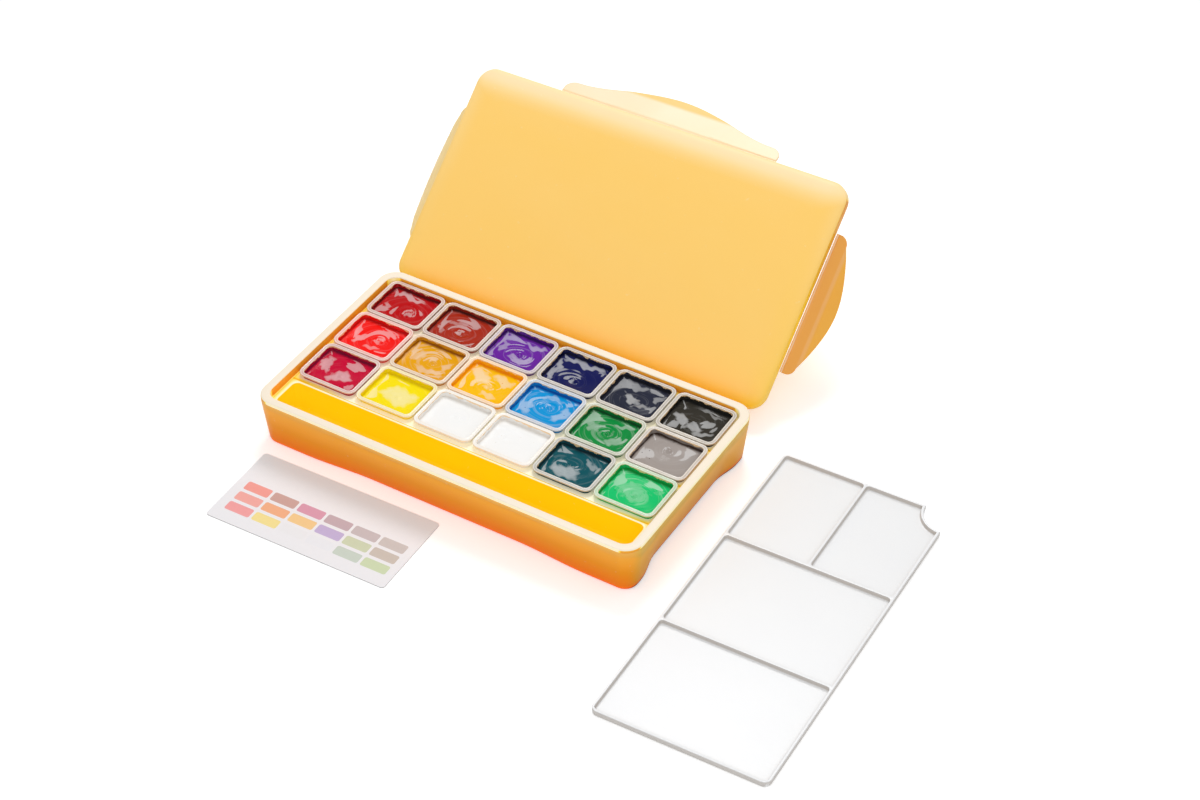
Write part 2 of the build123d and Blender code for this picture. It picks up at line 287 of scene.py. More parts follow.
# %% Surface toolkit
def rounded_rings(length, width, corner, height, steps=8):
    """Rings of rounded rectangles, as an array of rings by points by x, y, z.

    A point is the centre of its corner plus the corner radius times (cos, sin) of its angle."""
    sizes = (np.atleast_1d(np.asarray(size, float))[:, None] for size in (length, width, corner, height))
    length, width, corner, height = np.broadcast_arrays(*sizes)
    angle = np.radians(np.arange(4)[:, None] * 90 + np.linspace(0, 90, steps + 1)).ravel()
    side_x = np.repeat([1, -1, -1, 1], steps + 1)
    side_y = np.repeat([1, 1, -1, -1], steps + 1)
    x = side_x * (length / 2 - corner) + corner * np.cos(angle)
    y = side_y * (width / 2 - corner) + corner * np.sin(angle)
    return np.stack([x, y, height + 0 * x], axis=-1)


def profile_rings(length, width, corner, profile, steps=8, shrink=1.0, smallest=0.4):
    """Rings that follow a profile of (inset, height) pairs round one rounded rectangle.

    The corner radius loses shrink times the inset, but keeps at least the smallest."""
    inset, height = np.array(profile, float).T
    corner = np.maximum(corner - shrink * inset, smallest)
    return rounded_rings(length - 2 * inset, width - 2 * inset, corner, height, steps)


def arc(centre, radius, start, end, steps=4):
    """Points of a profile on an arc, with angles in degrees; 0 points along the inset."""
    angle = np.radians(np.linspace(start, end, steps + 1))
    return [(centre[0] + radius * math.cos(a), centre[1] + radius * math.sin(a)) for a in angle]


def skin(rings, first=False, last=False):
    """Points and faces between neighbouring rings; first and last shut the ends with one face."""
    count, around = rings.shape[:2]
    index = np.arange(count * around).reshape(count, around)
    ahead = np.roll(index, -1, axis=1)
    quads = np.stack([index[:-1], ahead[:-1], ahead[1:], index[1:]], axis=-1).reshape(-1, 4).tolist()
    if first:
        quads.append(index[0, ::-1].tolist())
    if last:
        quads.append(index[-1].tolist())
    return rings.reshape(-1, 3), quads


def joined(*surfaces):
    """Several (points, faces) as one."""
    points, faces, start = [], [], 0
    for some_points, some_faces in surfaces:
        points.append(some_points)
        faces += [[corner + start for corner in face] for face in some_faces]
        start += len(some_points)
    return np.concatenate(points), faces


def moved(surface, x=0.0, y=0.0, z=0.0):
    """A surface carried by x, y and z."""
    points, faces = surface
    return points + np.array([x, y, z]), faces


def piece(name, surface, look, body, stands_for, slot, sharp=35.0, **kept):
    """Makes a mesh object from points in millimetres and faces, and hangs it on its body.

    Edges sharper than sharp degrees stay crisp. Each kept value goes to the mesh's points."""
    points, faces = surface
    mesh = bpy.data.meshes.new(name)
    mesh.from_pydata((points * MM).tolist(), [], faces)
    for key, values in kept.items():
        attribute = mesh.attributes.new(key, "FLOAT", "POINT")
        attribute.data.foreach_set("value", np.asarray(values, np.float32).ravel())
    mesh.shade_smooth()
    mesh.set_sharp_from_angle(angle=math.radians(sharp))
    mesh.materials.append(look)
    made = bpy.data.objects.new(name, mesh)
    bpy.context.scene.collection.objects.link(made)
    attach(made, body)
    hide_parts(*stands_for)
    print(name, len(points), "points")
    return made


def smoothstep(value, low, high):
    """An S-curve from 0 to 1: t squared times (3 less 2 t), t being the share from low to high."""
    t = np.clip((value - low) / (high - low), 0, 1)
    return t * t * (3 - 2 * t)


# %% [markdown]
# ## Sizes that the pieces share
# These repeat the CAD model's own sizes, in millimetres, so that the smooth pieces take exactly
# the places of the solids that they stand for.

# %% Sizes
case_length, case_width, case_height, case_corner = 290.0, 160.3, 38.0, 13.0
case_top, snap_height = 35.6, 33.0
foot_inset, foot_bevel, foot_height = 3.5, 1.6, 2.4
side_waist, end_waist = (2.7, 112.0, 52.0), (4.5, 78.0, 24.0)  # depth, flat length, ramp length
snap_depth = 0.9
cavity_length, cavity_width, cavity_corner = 278.0, 148.3, 8.5
deck_height, well_floor = 31.5, 9.5
cup_length, cup_width, cup_height, cup_corner = 44.6, 38.4, 26.0, 6.0
pitch_x, pitch_y, grid_y = 45.7, 39.2, 15.1
pocket, trough = (41.6, 35.4, 4.6), (271.0, 25.0, 5.0)  # length, width, corner
trough_y = -58.5
long_flap = {"length": 170.0, "end": 12.0, "corner": 8.0, "crease": 17.0, "tip": 27.6, "slope": 0.0}
short_flap = {"length": 101.5, "end": 9.5, "corner": 6.5, "crease": 10.0, "tip": 22.0, "slope": 0.44}
print("case", case_length, "by", case_width, "by", case_height, "mm, and cups", cup_length, "by", cup_width)


# %% [markdown]
# ## Moulded plastic
# The case, the tray and the lid are one warm yellow plastic, satin and a little see-through.
# Light that has passed through it or bounced inside it comes out deeper and more orange. The
# plastic is opaque here, so that is painted in: the colour is painted deeper and more orange
# towards the table and in corners, as painted shade and painted bounce light, and paler where
# light falls full on it, as a painted highlight. The tone that each piece keeps at its points
# says how deep that painted colour is, and faint flow marks and a fine satin grain break it up.
# A very small emission, a painted glow, stands for the light that goes round inside it.


# %% Plastic
def moulded_plastic(name, tones, roughness=0.32, glow=0.08, foot_glow=0.0):
    """Satin plastic coloured from a ramp of painted light and shade, by the tone that the mesh keeps.

    Tones from 0.22 to 0.8 emit glow times their colour, a painted glow, and those near 0.12 emit
    foot_glow times it, a painted glow at the foot. Where the mesh keeps a shade, the colour is
    painted a little browner, as painted shade."""
    look = Look(name)
    point = look.place()
    tone = look.kept("tone")
    flow = look.noise(look.place(scale=(1.0, 2.2, 1.0)), 9.0, 3.0, 0.55, 0.6)
    ramp = look.node("ShaderNodeValToRGB", {"stops": tones}, tone + (flow - 0.5) * 0.05)
    # Painted glow: the plastic emits its own colour, standing for light that goes round inside it.
    painted_glow = tone.smooth(0.1, 0.22) * tone.smooth(0.86, 0.8) * glow
    painted_glow = painted_glow + tone.smooth(0.03, 0.09) * tone.smooth(0.2, 0.15) * foot_glow
    grain = look.noise(point, 900.0, 3.0, 0.6)
    cloud = look.noise(point, 35.0, 2.0)
    colour = look.mix(cloud * 0.10, ramp, look.mix(1.0, ramp, srgb(255, 236, 200), "MULTIPLY"))
    # Painted shade: where the mesh keeps a shade, on the case's shaded right end, the colour is painted
    # browner.
    browner = look.mix(1.0, colour, srgb(230, 250, 226), "MULTIPLY")
    colour = look.mix(look.kept("shade"), colour, browner)
    dust = look.noise(point, 260.0, 2.0, 0.7).smooth(0.68, 0.78)
    return look.finish(
        Base_Color=look.mix(dust * 0.12, colour, srgb(255, 250, 235)),
        Roughness=roughness + (cloud - 0.5) * 0.12 + dust * 0.1,
        Normal=look.bump(grain + flow * 0.6, 0.00006, 0.55),
        Emission_Color=look.mix(painted_glow, (0.0, 0.0, 0.0, 1.0), ramp),
        Emission_Strength=1.0,
        IOR=1.45,
        Specular_IOR_Level=0.18,
    )


# Painted shade and glow: dark brown at the shaded right foot, a painted orange glow band at the foot,
# colour deepening towards the table, and the full colour at the top.
case_plastic = moulded_plastic(
    "case_plastic",
    [
        (0.0, srgb(150, 78, 28)),
        (0.10, srgb(246, 104, 0)),
        (0.165, srgb(255, 116, 0)),
        (0.19, srgb(246, 126, 6)),
        (0.50, srgb(240, 148, 16)),
        (0.82, srgb(252, 172, 54)),
        (1.0, srgb(255, 200, 104)),
    ],
    foot_glow=0.15,
)
# Painted light and shade: cream as a painted highlight on the rim top, gold on the deck, amber as painted
# shade near and down the walls and in the trough. Its glow is a painted glow.
tray_plastic = moulded_plastic(
    "tray_plastic",
    [
        (0.0, srgb(255, 242, 222)),
        (0.25, srgb(255, 247, 216)),
        (0.5, srgb(255, 232, 140)),
        (0.78, srgb(255, 212, 12)),
        (0.88, srgb(255, 180, 60)),
        (1.0, srgb(248, 150, 20)),
    ],
    glow=0.18,
)
# Painted light and shade: pale as a painted highlight along the upper crown, deeper orange as painted shade
# along the lower edge and on the right skirt.
lid_plastic = moulded_plastic(
    "lid_plastic",
    [
        (0.0, srgb(255, 236, 208)),
        (0.3, srgb(255, 221, 152)),
        (0.5, srgb(255, 209, 114)),
        (0.8, srgb(255, 209, 52)),
        (1.0, srgb(240, 160, 48)),
    ],
    roughness=0.38,
)
print("plastics:", case_plastic.name, tray_plastic.name, lid_plastic.name)

# %% [markdown]
# ## The case
# The case's sides pull in towards the table, and each has a long shallow waist to grip it by.
# The waist is an S-curve in plan that fades out with height. So the wall is a function of two
# parameters: the way round the outline, and the height. Under the rim runs a shallow recess that
# the flaps snap into.


# %% Case
def waisted_rings(levels, side_steps=40, corner_steps=8):
    """Rings of the case's outline through (height, extra inset) levels.

    On each side the point moves in by the waist's depth times an S-curve of its place along the
    side, or by the snap recess, whichever is deeper. The depth and the draft both fade from all
    at the table to none at the snap band."""
    height, extra = np.array(levels, float).T[:, :, None]
    fade = np.clip(1 - height / snap_height, 0, 1)
    drawn_in = extra + foot_inset * fade
    corner = np.maximum(case_corner - drawn_in, 1.0)
    sides = []
    for turn in range(4):
        long_side = turn % 2 == 0
        span, half = (case_length, case_width / 2) if long_side else (case_width, case_length / 2)
        waist, flat, ramp = side_waist if long_side else end_waist
        straight = (span - 2 * drawn_in) / 2 - corner
        along = straight * np.linspace(-1, 1, side_steps + 1)
        depth = waist * fade * (1 - smoothstep(np.abs(along), flat / 2, flat / 2 + ramp))
        snap = snap_depth * smoothstep(snap_height + 0.4 - height, 0, 1.2) * smoothstep(height, 15, 24)
        flap = long_flap["length"] / 2 if long_side else short_flap["length"] / 2
        snap = snap * (1 - smoothstep(np.abs(along), flap - 1, flap + 1.5))
        out = half - drawn_in - np.maximum(depth, snap - foot_inset * fade)
        angle = np.radians(np.linspace(-90, 0, corner_steps + 2)[1:-1])
        bend_x = straight + corner * np.cos(angle)
        bend_y = half - drawn_in - corner - corner * np.sin(angle)
        x = np.concatenate([along, bend_x], axis=1)
        y = -np.concatenate([out, bend_y], axis=1)
        sides.append([(x, y), (-y, x), (-x, -y), (y, -x)][turn])
    x, y = (np.concatenate(part, axis=1) for part in zip(*sides))
    return np.stack([x, y, height + 0 * x], axis=-1)


case_wall, case_floor = 2.0, 2.0
foot_angles = np.linspace(0.0, math.pi / 2, 6)
foot = [(foot_height * (1 - math.cos(a)), foot_bevel * (1 - math.sin(a))) for a in foot_angles]
wall_heights = (6, 10, 15, 20, 24, 28, 30.5, 31.8, 32.2, 32.6, 33.0, 33.4, 34.5, case_top - 0.3)
outside = [(0.0, foot_bevel + 1.5), *foot, *((z, 0.0) for z in wall_heights), (case_top - 0.1, 0.15)]
inside = [(z, case_wall) for z in (case_top - 0.1, 20.0, case_floor + 1.0)]
inside += [(case_floor, case_wall + 1.0)]
case = skin(waisted_rings(outside + inside), first=True, last=True)
x, y, z = case[0].T
# Painted shade: the colour deepens towards the table, and the shaded right end gets its own tone, painted
# browner, with a painted dark line at its foot.
shaded_right_end = smoothstep(x, 126, 134) * smoothstep(y, -77, -68)
shaded_right_tone = np.where(z < foot_height + 0.5, 0.0, 0.44 + 0.54 * z / case_height)
tone = (0.1 + 0.9 * z / case_height) * (1 - shaded_right_end) + shaded_right_tone * shaded_right_end
piece(
    "case_wall", case, case_plastic, "case", ("base_case",), "case_amber",
    tone=np.clip(tone, 0, 1), shade=shaded_right_end,
)

# %% [markdown]
# ## The tray
# One moulding makes the rim, the sunk deck, a pocket for each cup and the trough for brushes.
# The rim is a profile carried round. The deck is made of cells, one per pocket and one for the
# trough: each is a few rings from its hole out to its own edge, and the edges meet.


# %% Tray rim
def tray_tone(x, y, z):
    """Painted light and shade: cream as a painted highlight on top of the rim, gold on the deck, amber as
    painted shade down the walls and in corners.
    """
    to_wall = np.minimum(cavity_length / 2 - np.abs(x), cavity_width / 2 - np.abs(y))
    # Painted shade deepens the deck towards the cavity walls.
    deck = 0.22 + 0.42 * np.exp(-np.clip(to_wall, 0, None) / 2.2)
    wall = 0.96 - 0.07 * smoothstep(z, deck_height + 1, case_height)
    tone = np.where(to_wall < 0.25, wall, deck)
    tone = np.where(z > case_height - 0.45, 0.0, tone)
    tone = np.where(z < deck_height - 0.4, 0.78, tone)
    outside = (np.abs(x) > case_length / 2 - 0.5) | (np.abs(y) > case_width / 2 - 0.5)
    return np.where(outside & (z < case_height - 0.3), 0.3, tone)


# (inset, height) from under the rim, out and over its top, and down to the deck
rim_profile = [(5.5, case_top), (0.3, case_top), *arc((0.3, case_top + 0.3), 0.3, -90, -180, 2)]
rim_profile += arc((1.0, case_height - 1.0), 1.0, 180, 90, 5)
rim_profile += arc((5.3, case_height - 0.7), 0.7, 90, 0, 4)
rim_profile += [(6.0, 35.5), (6.0, 33.5)] + arc((6.8, deck_height + 0.8), 0.8, 180, 270, 4)
rim = profile_rings(case_length, case_width, case_corner, rim_profile, 10, shrink=0.75)
print("rim of", len(rim), "rings")

# %% Tray deck, pockets and trough
cup_places = [
    ((column - 2.5) * pitch_x, grid_y + (1 - row) * pitch_y) for row in range(3) for column in range(6)
]
deck_left, deck_right = -cavity_length / 2 - 0.3, cavity_length / 2 + 0.3
deck_front, deck_back = -cavity_width / 2 - 0.3, cavity_width / 2 + 0.3
trough_line = trough_y + trough[1] / 2 + 1.0
edge_round = 0.6


def deck_cell(x, y, length, width, corner, low, high, draft, fillet):
    """A hole with its walls and floor, and the flat deck out to the cell's own corners.

    The rings go from the cell's edge in to the hole, over its rounded edge and down to the floor."""
    profile = arc((edge_round, deck_height - edge_round), edge_round, 90, 0, 4)
    wall_foot = edge_round + draft * (deck_height - well_floor)
    profile += arc((wall_foot + fillet, well_floor + fillet), fillet, 180, 270, 3)
    grown = 2 * edge_round
    hole = profile_rings(length + grown, width + grown, corner + edge_round, profile, 6, smallest=0.5)
    cell = rounded_rings(high[0] - low[0], high[1] - low[1], 0.02, deck_height, 6)
    cell += np.array([(high[0] + low[0]) / 2, (high[1] + low[1]) / 2, 0])
    return skin(np.concatenate([cell, hole + np.array([x, y, 0])]), last=True)


cells = []
for number, (x, y) in enumerate(cup_places):
    column, row = number % 6, number // 6
    low = (deck_left if column == 0 else x - pitch_x / 2, trough_line if row == 2 else y - pitch_y / 2)
    high = (deck_right if column == 5 else x + pitch_x / 2, deck_back if row == 0 else y + pitch_y / 2)
    cells.append(deck_cell(x, y, *pocket, low, high, draft=0.044, fillet=0.8))
low, high = (deck_left, deck_front), (deck_right, trough_line)
cells.append(deck_cell(0.0, trough_y, *trough, low, high, draft=0.035, fillet=2.0))
tray = joined(skin(rim), *cells)
piece(
    "tray_moulding", tray, tray_plastic, "case", ("inner_tray",), "tray_cream",
    tone=tray_tone(*tray[0].T),
)

# %% [markdown]
# ## The cups
# Each cup is a soft, whitish moulding: a tapered body and a flat lip with a shallow groove round
# it. A real one is half see-through. Here it is opaque, and colours imitate that: a dark tint
# below the lip where the paint would show, deepened there as painted shade, a painted shade line
# in the groove, paint smeared up the inside, and a golden tone above the smear's ragged edge,
# where the tray would shine through.


# %% Cup material
def cup_plastic(name, paint, deep):
    """Milky plastic that takes the colour of its paint, deepened as painted shade under the lip and in the
    groove, and the paint smeared up its inside.
    """
    look = Look(name)
    point = look.place()
    tint = look.kept("tint")
    smear = look.kept("smear")
    ragged = look.noise(look.place(scale=(1.0, 1.0, 0.45)), 180.0, 3.0, 0.6)
    inner = smear.smooth(0.02, 0.1)
    covered = (smear * 1.3 + (ragged - 0.5) * 2.4).smooth(0.44, 0.54) * inner
    cloud = look.noise(point, 120.0, 3.0, 0.6)
    milky = look.mix(cloud, srgb(255, 250, 240), srgb(255, 242, 226))
    # The lip takes deep paint colour where the mesh keeps it: partly paint seen through, partly painted
    # shade.
    lip = look.mix(tint * (0.7 + 0.6 * cloud), milky, look.mix(0.5, paint, deep))
    lip = look.mix(inner * 0.6, lip, srgb(255, 196, 96))
    wet = look.mix(ragged, deep, paint)
    scratches = look.noise(look.place(scale=(1.0, 3.0, 1.0)), 160.0, 2.0, 0.6)
    return look.finish(
        Base_Color=look.mix(covered, lip, wet),
        Roughness=0.22 + 0.2 * cloud - 0.08 * covered,
        Normal=look.bump(scratches * 0.5 + covered * 1.5, 0.00008, 0.4),
        IOR=1.45,
        Coat_Weight=0.15,
        Coat_Roughness=0.12,
    )


# %% Cup shape
def cup_surface():
    """One cup: up the outside, out under the lip, over it with its groove, and down inside.

    Each list is part of the profile, as (inset, height). Also gives, by point, the paint colour with its
    painted shade, and the smear."""
    foot = arc((3.7, 0.8), 0.8, -90, -180, 3)
    body = [(2.35, 13.0), (1.95, 22.0), (1.85, 24.2)]
    under_lip = [(1.6, 24.6), (0.5, 24.72)]
    lip = [*arc((0.45, 25.15), 0.45, 255, 180, 2), *arc((0.42, 25.6), 0.42, 180, 90, 3)]
    groove = [(0.75, 25.97), (1.05, 25.84), (1.75, 25.83), (2.1, 25.95)]
    mouth = arc((2.42, 25.6), 0.4, 90, 0, 4)
    inner = [(2.88, 24.8), (2.91, 24.0), (2.95, 23.2), (2.99, 22.4), (3.4, 12.0), (3.8, 1.8), (4.6, 1.0)]
    inset, height = np.array(foot + body + under_lip + lip + groove + mouth + inner).T
    corner = np.interp(inset, [0.0, 1.8, 2.8, 4.6], [cup_corner, 4.6, 3.2, 2.4])
    rings = rounded_rings(cup_length - 2 * inset, cup_width - 2 * inset, corner, height, 7)
    inside = np.arange(len(height)) >= len(foot + body + under_lip + lip + groove) + 3
    # The tint is the paint seen through the wall, deepened as painted shade under the lip, with a painted
    # shade line in the groove.
    tint_heights = [21.0, 24.0, 24.8, 25.6, 25.8, 25.84, 25.9]
    ring_tint_and_shade = np.interp(height, tint_heights, [0.95, 0.95, 0.8, 0.3, 0.5, 0.5, 0.25])
    ring_tint_and_shade = np.where(inside, 0.3, ring_tint_and_shade)
    ring_smear = np.interp(height, [22.0, 24.0, 25.4, 25.9], [1.0, 0.72, 0.35, 0.0])
    ring_smear = np.where(inside, ring_smear, 0.0)
    around = rings.shape[1]
    return skin(rings, first=True, last=True), np.repeat(ring_tint_and_shade, around), np.repeat(ring_smear, around)


cup_skin, cup_tint_and_shade, cup_smear = cup_surface()
print("one cup has", len(cup_skin[0]), "points")

# %% [markdown]
# ## The paint
# Gouache is a thick wet paste. When the cups are filled, the paste is let down in a spiral, so
# each surface keeps folds that wind round an off-centre curl with a little peak, slow swells,
# and edges that climb the walls. All of that is one height over x and y, written as a formula.
# The grid runs in rings from the wall to the curl, so it is densest where the detail is finest.
# A second map follows the spiral, and the material draws fine streaks along it.

# %% Paint colours and the way each was poured
# name, colour, deep colour, ribbons, then curl x and y, arms, turns, folds, swell, peak, seed
paints = [
    ("crimson", srgb(192, 0, 8), srgb(84, 0, 4), 0.2, 4.0, -4.0, 1, 2.0, 0.36, 0.42, 0.9, 1.0),
    ("brown", srgb(172, 40, 14), srgb(70, 10, 3), 0.3, 0.8, -3.0, 1, 2.4, 0.28, 0.40, 0.8, 2.1),
    ("violet", srgb(108, 32, 162), srgb(46, 6, 84), 0.5, 1.5, -2.0, 1, 2.6, 0.42, 0.38, 1.0, 3.3),
    ("navy", srgb(8, 16, 84), srgb(3, 5, 38), 0.1, 1.0, -5.0, 1, 1.4, 0.20, 0.45, 1.1, 4.2),
    ("blue_black", srgb(36, 40, 58), srgb(8, 9, 20), 0.3, 1.5, -2.0, 2, 1.6, 0.50, 0.45, 0.9, 5.5),
    ("black", srgb(50, 46, 38), srgb(10, 9, 7), 0.15, -2.0, -1.0, 3, 1.2, 0.50, 0.60, 0.5, 6.4),
    ("scarlet", srgb(252, 18, 10), srgb(190, 4, 4), 0.3, 4.5, 0.5, 1, 2.0, 0.40, 0.42, 1.0, 7.7),
    ("ochre", srgb(238, 168, 2), srgb(150, 84, 0), 0.9, 1.6, 1.0, 1, 3.2, 0.42, 0.32, 1.0, 8.1),
    ("orange_yellow", srgb(255, 196, 0), srgb(244, 140, 0), 0.15, 2.0, 0.0, 2, 1.4, 0.36, 0.45, 0.4, 9.9),
    ("sky_blue", srgb(0, 152, 220), srgb(0, 76, 160), 0.8, 1.0, 2.5, 1, 3.0, 0.48, 0.36, 1.0, 10.4),
    ("green", srgb(0, 142, 62), srgb(0, 70, 28), 0.9, 1.5, 0.5, 2, 2.8, 0.55, 0.34, 1.1, 11.2),
    ("taupe", srgb(168, 158, 152), srgb(52, 36, 28), 0.2, -1.5, 6.0, 1, 1.6, 0.20, 0.30, 1.0, 12.6),
    ("magenta", srgb(206, 0, 54), srgb(116, 0, 44), 0.1, 2.0, -3.0, 1, 1.5, 0.30, 0.50, 0.5, 13.1),
    ("lemon", srgb(255, 232, 0), srgb(236, 204, 0), 0.1, 1.0, -1.0, 1, 1.6, 0.12, 0.30, 0.2, 14.8),
    ("white_a", srgb(253, 252, 250), srgb(236, 230, 222), 0.0, 0.0, 3.0, 1, 2.2, 0.16, 0.25, 0.3, 15.3),
    ("white_b", srgb(253, 252, 250), srgb(236, 230, 222), 0.0, -8.0, 2.0, 1, 2.0, 0.14, 0.25, 0.2, 16.2),
    ("teal", srgb(0, 84, 94), srgb(0, 34, 42), 0.3, -4.0, 1.0, 3, 1.2, 0.50, 0.50, 0.3, 17.5),
    ("light_green", srgb(16, 202, 112), srgb(0, 136, 52), 0.9, 0.5, -3.0, 1, 2.4, 0.36, 0.34, 0.9, 18.9),
]

# Where each surface is painted paler, as a painted reflection of the lamp above: ellipses as x, y, half
# lengths, turn in degrees, amount.
painted_reflections = {
    "crimson": [(-5, 11.5, 13, 2.4, -4, 0.9), (-14, -4, 2.5, 5, 10, 0.7), (4, -4.5, 3.4, 2.2, 20, 0.8)],
    "brown": [(0.5, -3, 3.2, 2.2, 30, 0.9), (-6, 6, 9, 2.4, 25, 0.6), (-14, -6, 2.5, 5, 0, 0.6)],
    "violet": [(2, -6, 7, 2.8, 10, 0.7), (8, 10.5, 9, 2.6, -4, 0.8), (-13, 2, 3, 7, 15, 0.7)],
    "navy": [(0, 12, 17, 2.6, -2, 0.9), (-16, 0, 2.6, 12, 0, 0.9), (1, -5, 2.4, 1.9, 0, 0.9)],
    "blue_black": [
        (-8, 11, 10, 3.4, 0, 0.7), (-3, -1, 7, 3.2, -35, 0.9), (7, -5, 6, 2.6, 30, 0.7),
        (14, 8, 3, 5, 0, 0.7),
    ],
    "black": [
        (-11, -1, 6, 4.5, 20, 0.9), (0, -5, 8, 3.5, -15, 0.9), (9, -8, 6, 2.5, 25, 0.8),
        (4, 12, 9, 1.8, -3, 0.6),
    ],
    "scarlet": [
        (-10, -2, 6, 3.2, 40, 0.8), (1, -7, 6, 2.2, 10, 0.7), (4, 1.5, 4, 2.2, 30, 0.7),
        (6, 12, 8, 1.8, -5, 0.6),
    ],
    "ochre": [(-11, 3, 4, 6, 20, 0.7), (2, -8, 12, 2.8, 0, 0.7), (12, 2, 3, 6, 10, 0.7)],
    "orange_yellow": [
        (-9, 7, 8, 6, -20, 0.9), (8, 9, 9, 4, -10, 0.8), (5, -8, 7, 2.5, 20, 0.7),
        (0, -1, 3, 3, 0, 0.6),
    ],
    "sky_blue": [(-12, -4, 4.5, 7, 20, 0.8), (12, 0, 4.5, 8, -10, 0.8), (0, 11, 8, 2.4, 0, 0.7)],
    "green": [(-11, 3, 5, 6, 30, 0.7), (9, -5, 6, 4, -20, 0.7), (8, 10.5, 7, 2, 0, 0.7)],
    "taupe": [(-2, -1, 6, 3, 30, 0.45)],
    "magenta": [(1, -4, 9, 5.5, 15, 0.9), (-13, 3, 4, 8, 20, 0.8)],
    "lemon": [(1, 0, 13, 9, -5, 0.8)],
    "teal": [(-3, -6, 11, 5.5, -8, 0.9), (9, 8, 8, 2.6, -25, 0.7)],
    "light_green": [(-2, 0, 13, 9, 0, 0.55), (12, 8, 4, 4, 0, 0.5)],
}
print(len(paints), "paints,", len(painted_reflections), "of them with pale pools")


# %% Paint material
def wet_paste(name, colour, deep, ribbons):
    """Glossy paste: deep at the walls, from deeper paint and painted shade; painted reflections of the lamp
    above in listed patches, and a painted gleam; streaked along the spiral.
    """
    look = Look(name)
    point = look.place()
    gleam = look.kept("gleam")
    pool = look.kept("pool")
    edge = look.kept("edge")
    spiral = look.node("ShaderNodeUVMap", {"uv_map": "spiral"})
    stretched = look.node("ShaderNodeMapping", {}, Vector=spiral, Scale=(7.0, 60.0, 1.0))
    streak = look.noise(stretched, 1.0, 3.0, 0.6)
    cloud = look.noise(point, 140.0, 3.0, 0.6, 1.5)
    # The paler colour serves the painted reflections, the painted gleam and the pale ribbons along the
    # spiral.
    light = look.mix(0.46, colour, (0.94, 0.94, 0.94, 1.0))
    wound = look.node("ShaderNodeMapping", {}, Vector=spiral, Scale=(5.0, 9.0, 1.0))
    ribbon = look.noise(wound, 1.0, 2.0, 0.5, 1.2).smooth(0.5, 0.64) * ribbons
    torn = look.noise(look.place(scale=(1.0, 1.6, 1.0)), 330.0, 4.0, 0.65, 2.0)
    # Painted reflections of the lamp above: in the listed patches, the paint is painted paler.
    sheet = (pool + (cloud - 0.5) * 0.45 + (torn - 0.5) * 0.35 + (streak - 0.5) * 0.4).smooth(0.32, 0.55)
    reflection_core = (pool + (cloud - 0.5) * 0.3).smooth(0.45, 0.95)
    # Painted highlight: where the mesh keeps a gleam, the paint is painted paler.
    gleaming = (gleam + (streak - 0.5) * 0.5).smooth(0.45, 0.7) * 0.7
    painted_reflection_share = sheet * (0.36 + 0.5 * reflection_core + 0.4 * (streak - 0.5))
    body = look.mix(painted_reflection_share.largest(gleaming).largest(ribbon * 0.4), colour, light)
    # Deep colour at the walls: partly deeper paint, partly painted shade.
    shaded = look.mix((edge + (cloud - 0.5) * 0.5).smooth(0.16, 0.75), body, deep)
    bubbles = look.node("ShaderNodeTexVoronoi", {}, Vector=point, Scale=170.0).smooth(0.085, 0.05)
    return look.finish(
        Base_Color=look.mix(bubbles * 0.7, shaded, deep),
        Roughness=0.12 + 0.10 * cloud,
        Normal=look.bump(streak * 0.6 + cloud * 0.2 - bubbles, 0.00014, 0.3),
        IOR=1.40,
        Specular_IOR_Level=0.1,
    )


# %% Paint shape
def even_ring(length, width, corner, count):
    """Points at equal steps round a rounded rectangle, found by its running length."""
    dense = rounded_rings(length, width, corner, 0.0, 16)[0, :, :2]
    dense = np.concatenate([dense, dense[:1]])
    run = np.concatenate([[0], np.cumsum(np.linalg.norm(np.diff(dense, axis=0), axis=1))])
    places = np.linspace(0, run[-1], count, endpoint=False)
    return np.stack([np.interp(places, run, dense[:, 0]), np.interp(places, run, dense[:, 1])], axis=-1)


paste_length, paste_width, paste_corner, paste_level = 38.65, 32.45, 3.1, 21.5
side_rings = ((0.955, 1.1), (0.975, 10.0), (0.996, 20.5))  # scale and height, from the bottom up
# Painted highlight: a surface that faces this way, where it would mirror the lamp above, gets a painted
# gleam.
glint_way = np.array([0.141, -0.115, 0.983])  # a surface that faces this way gleams


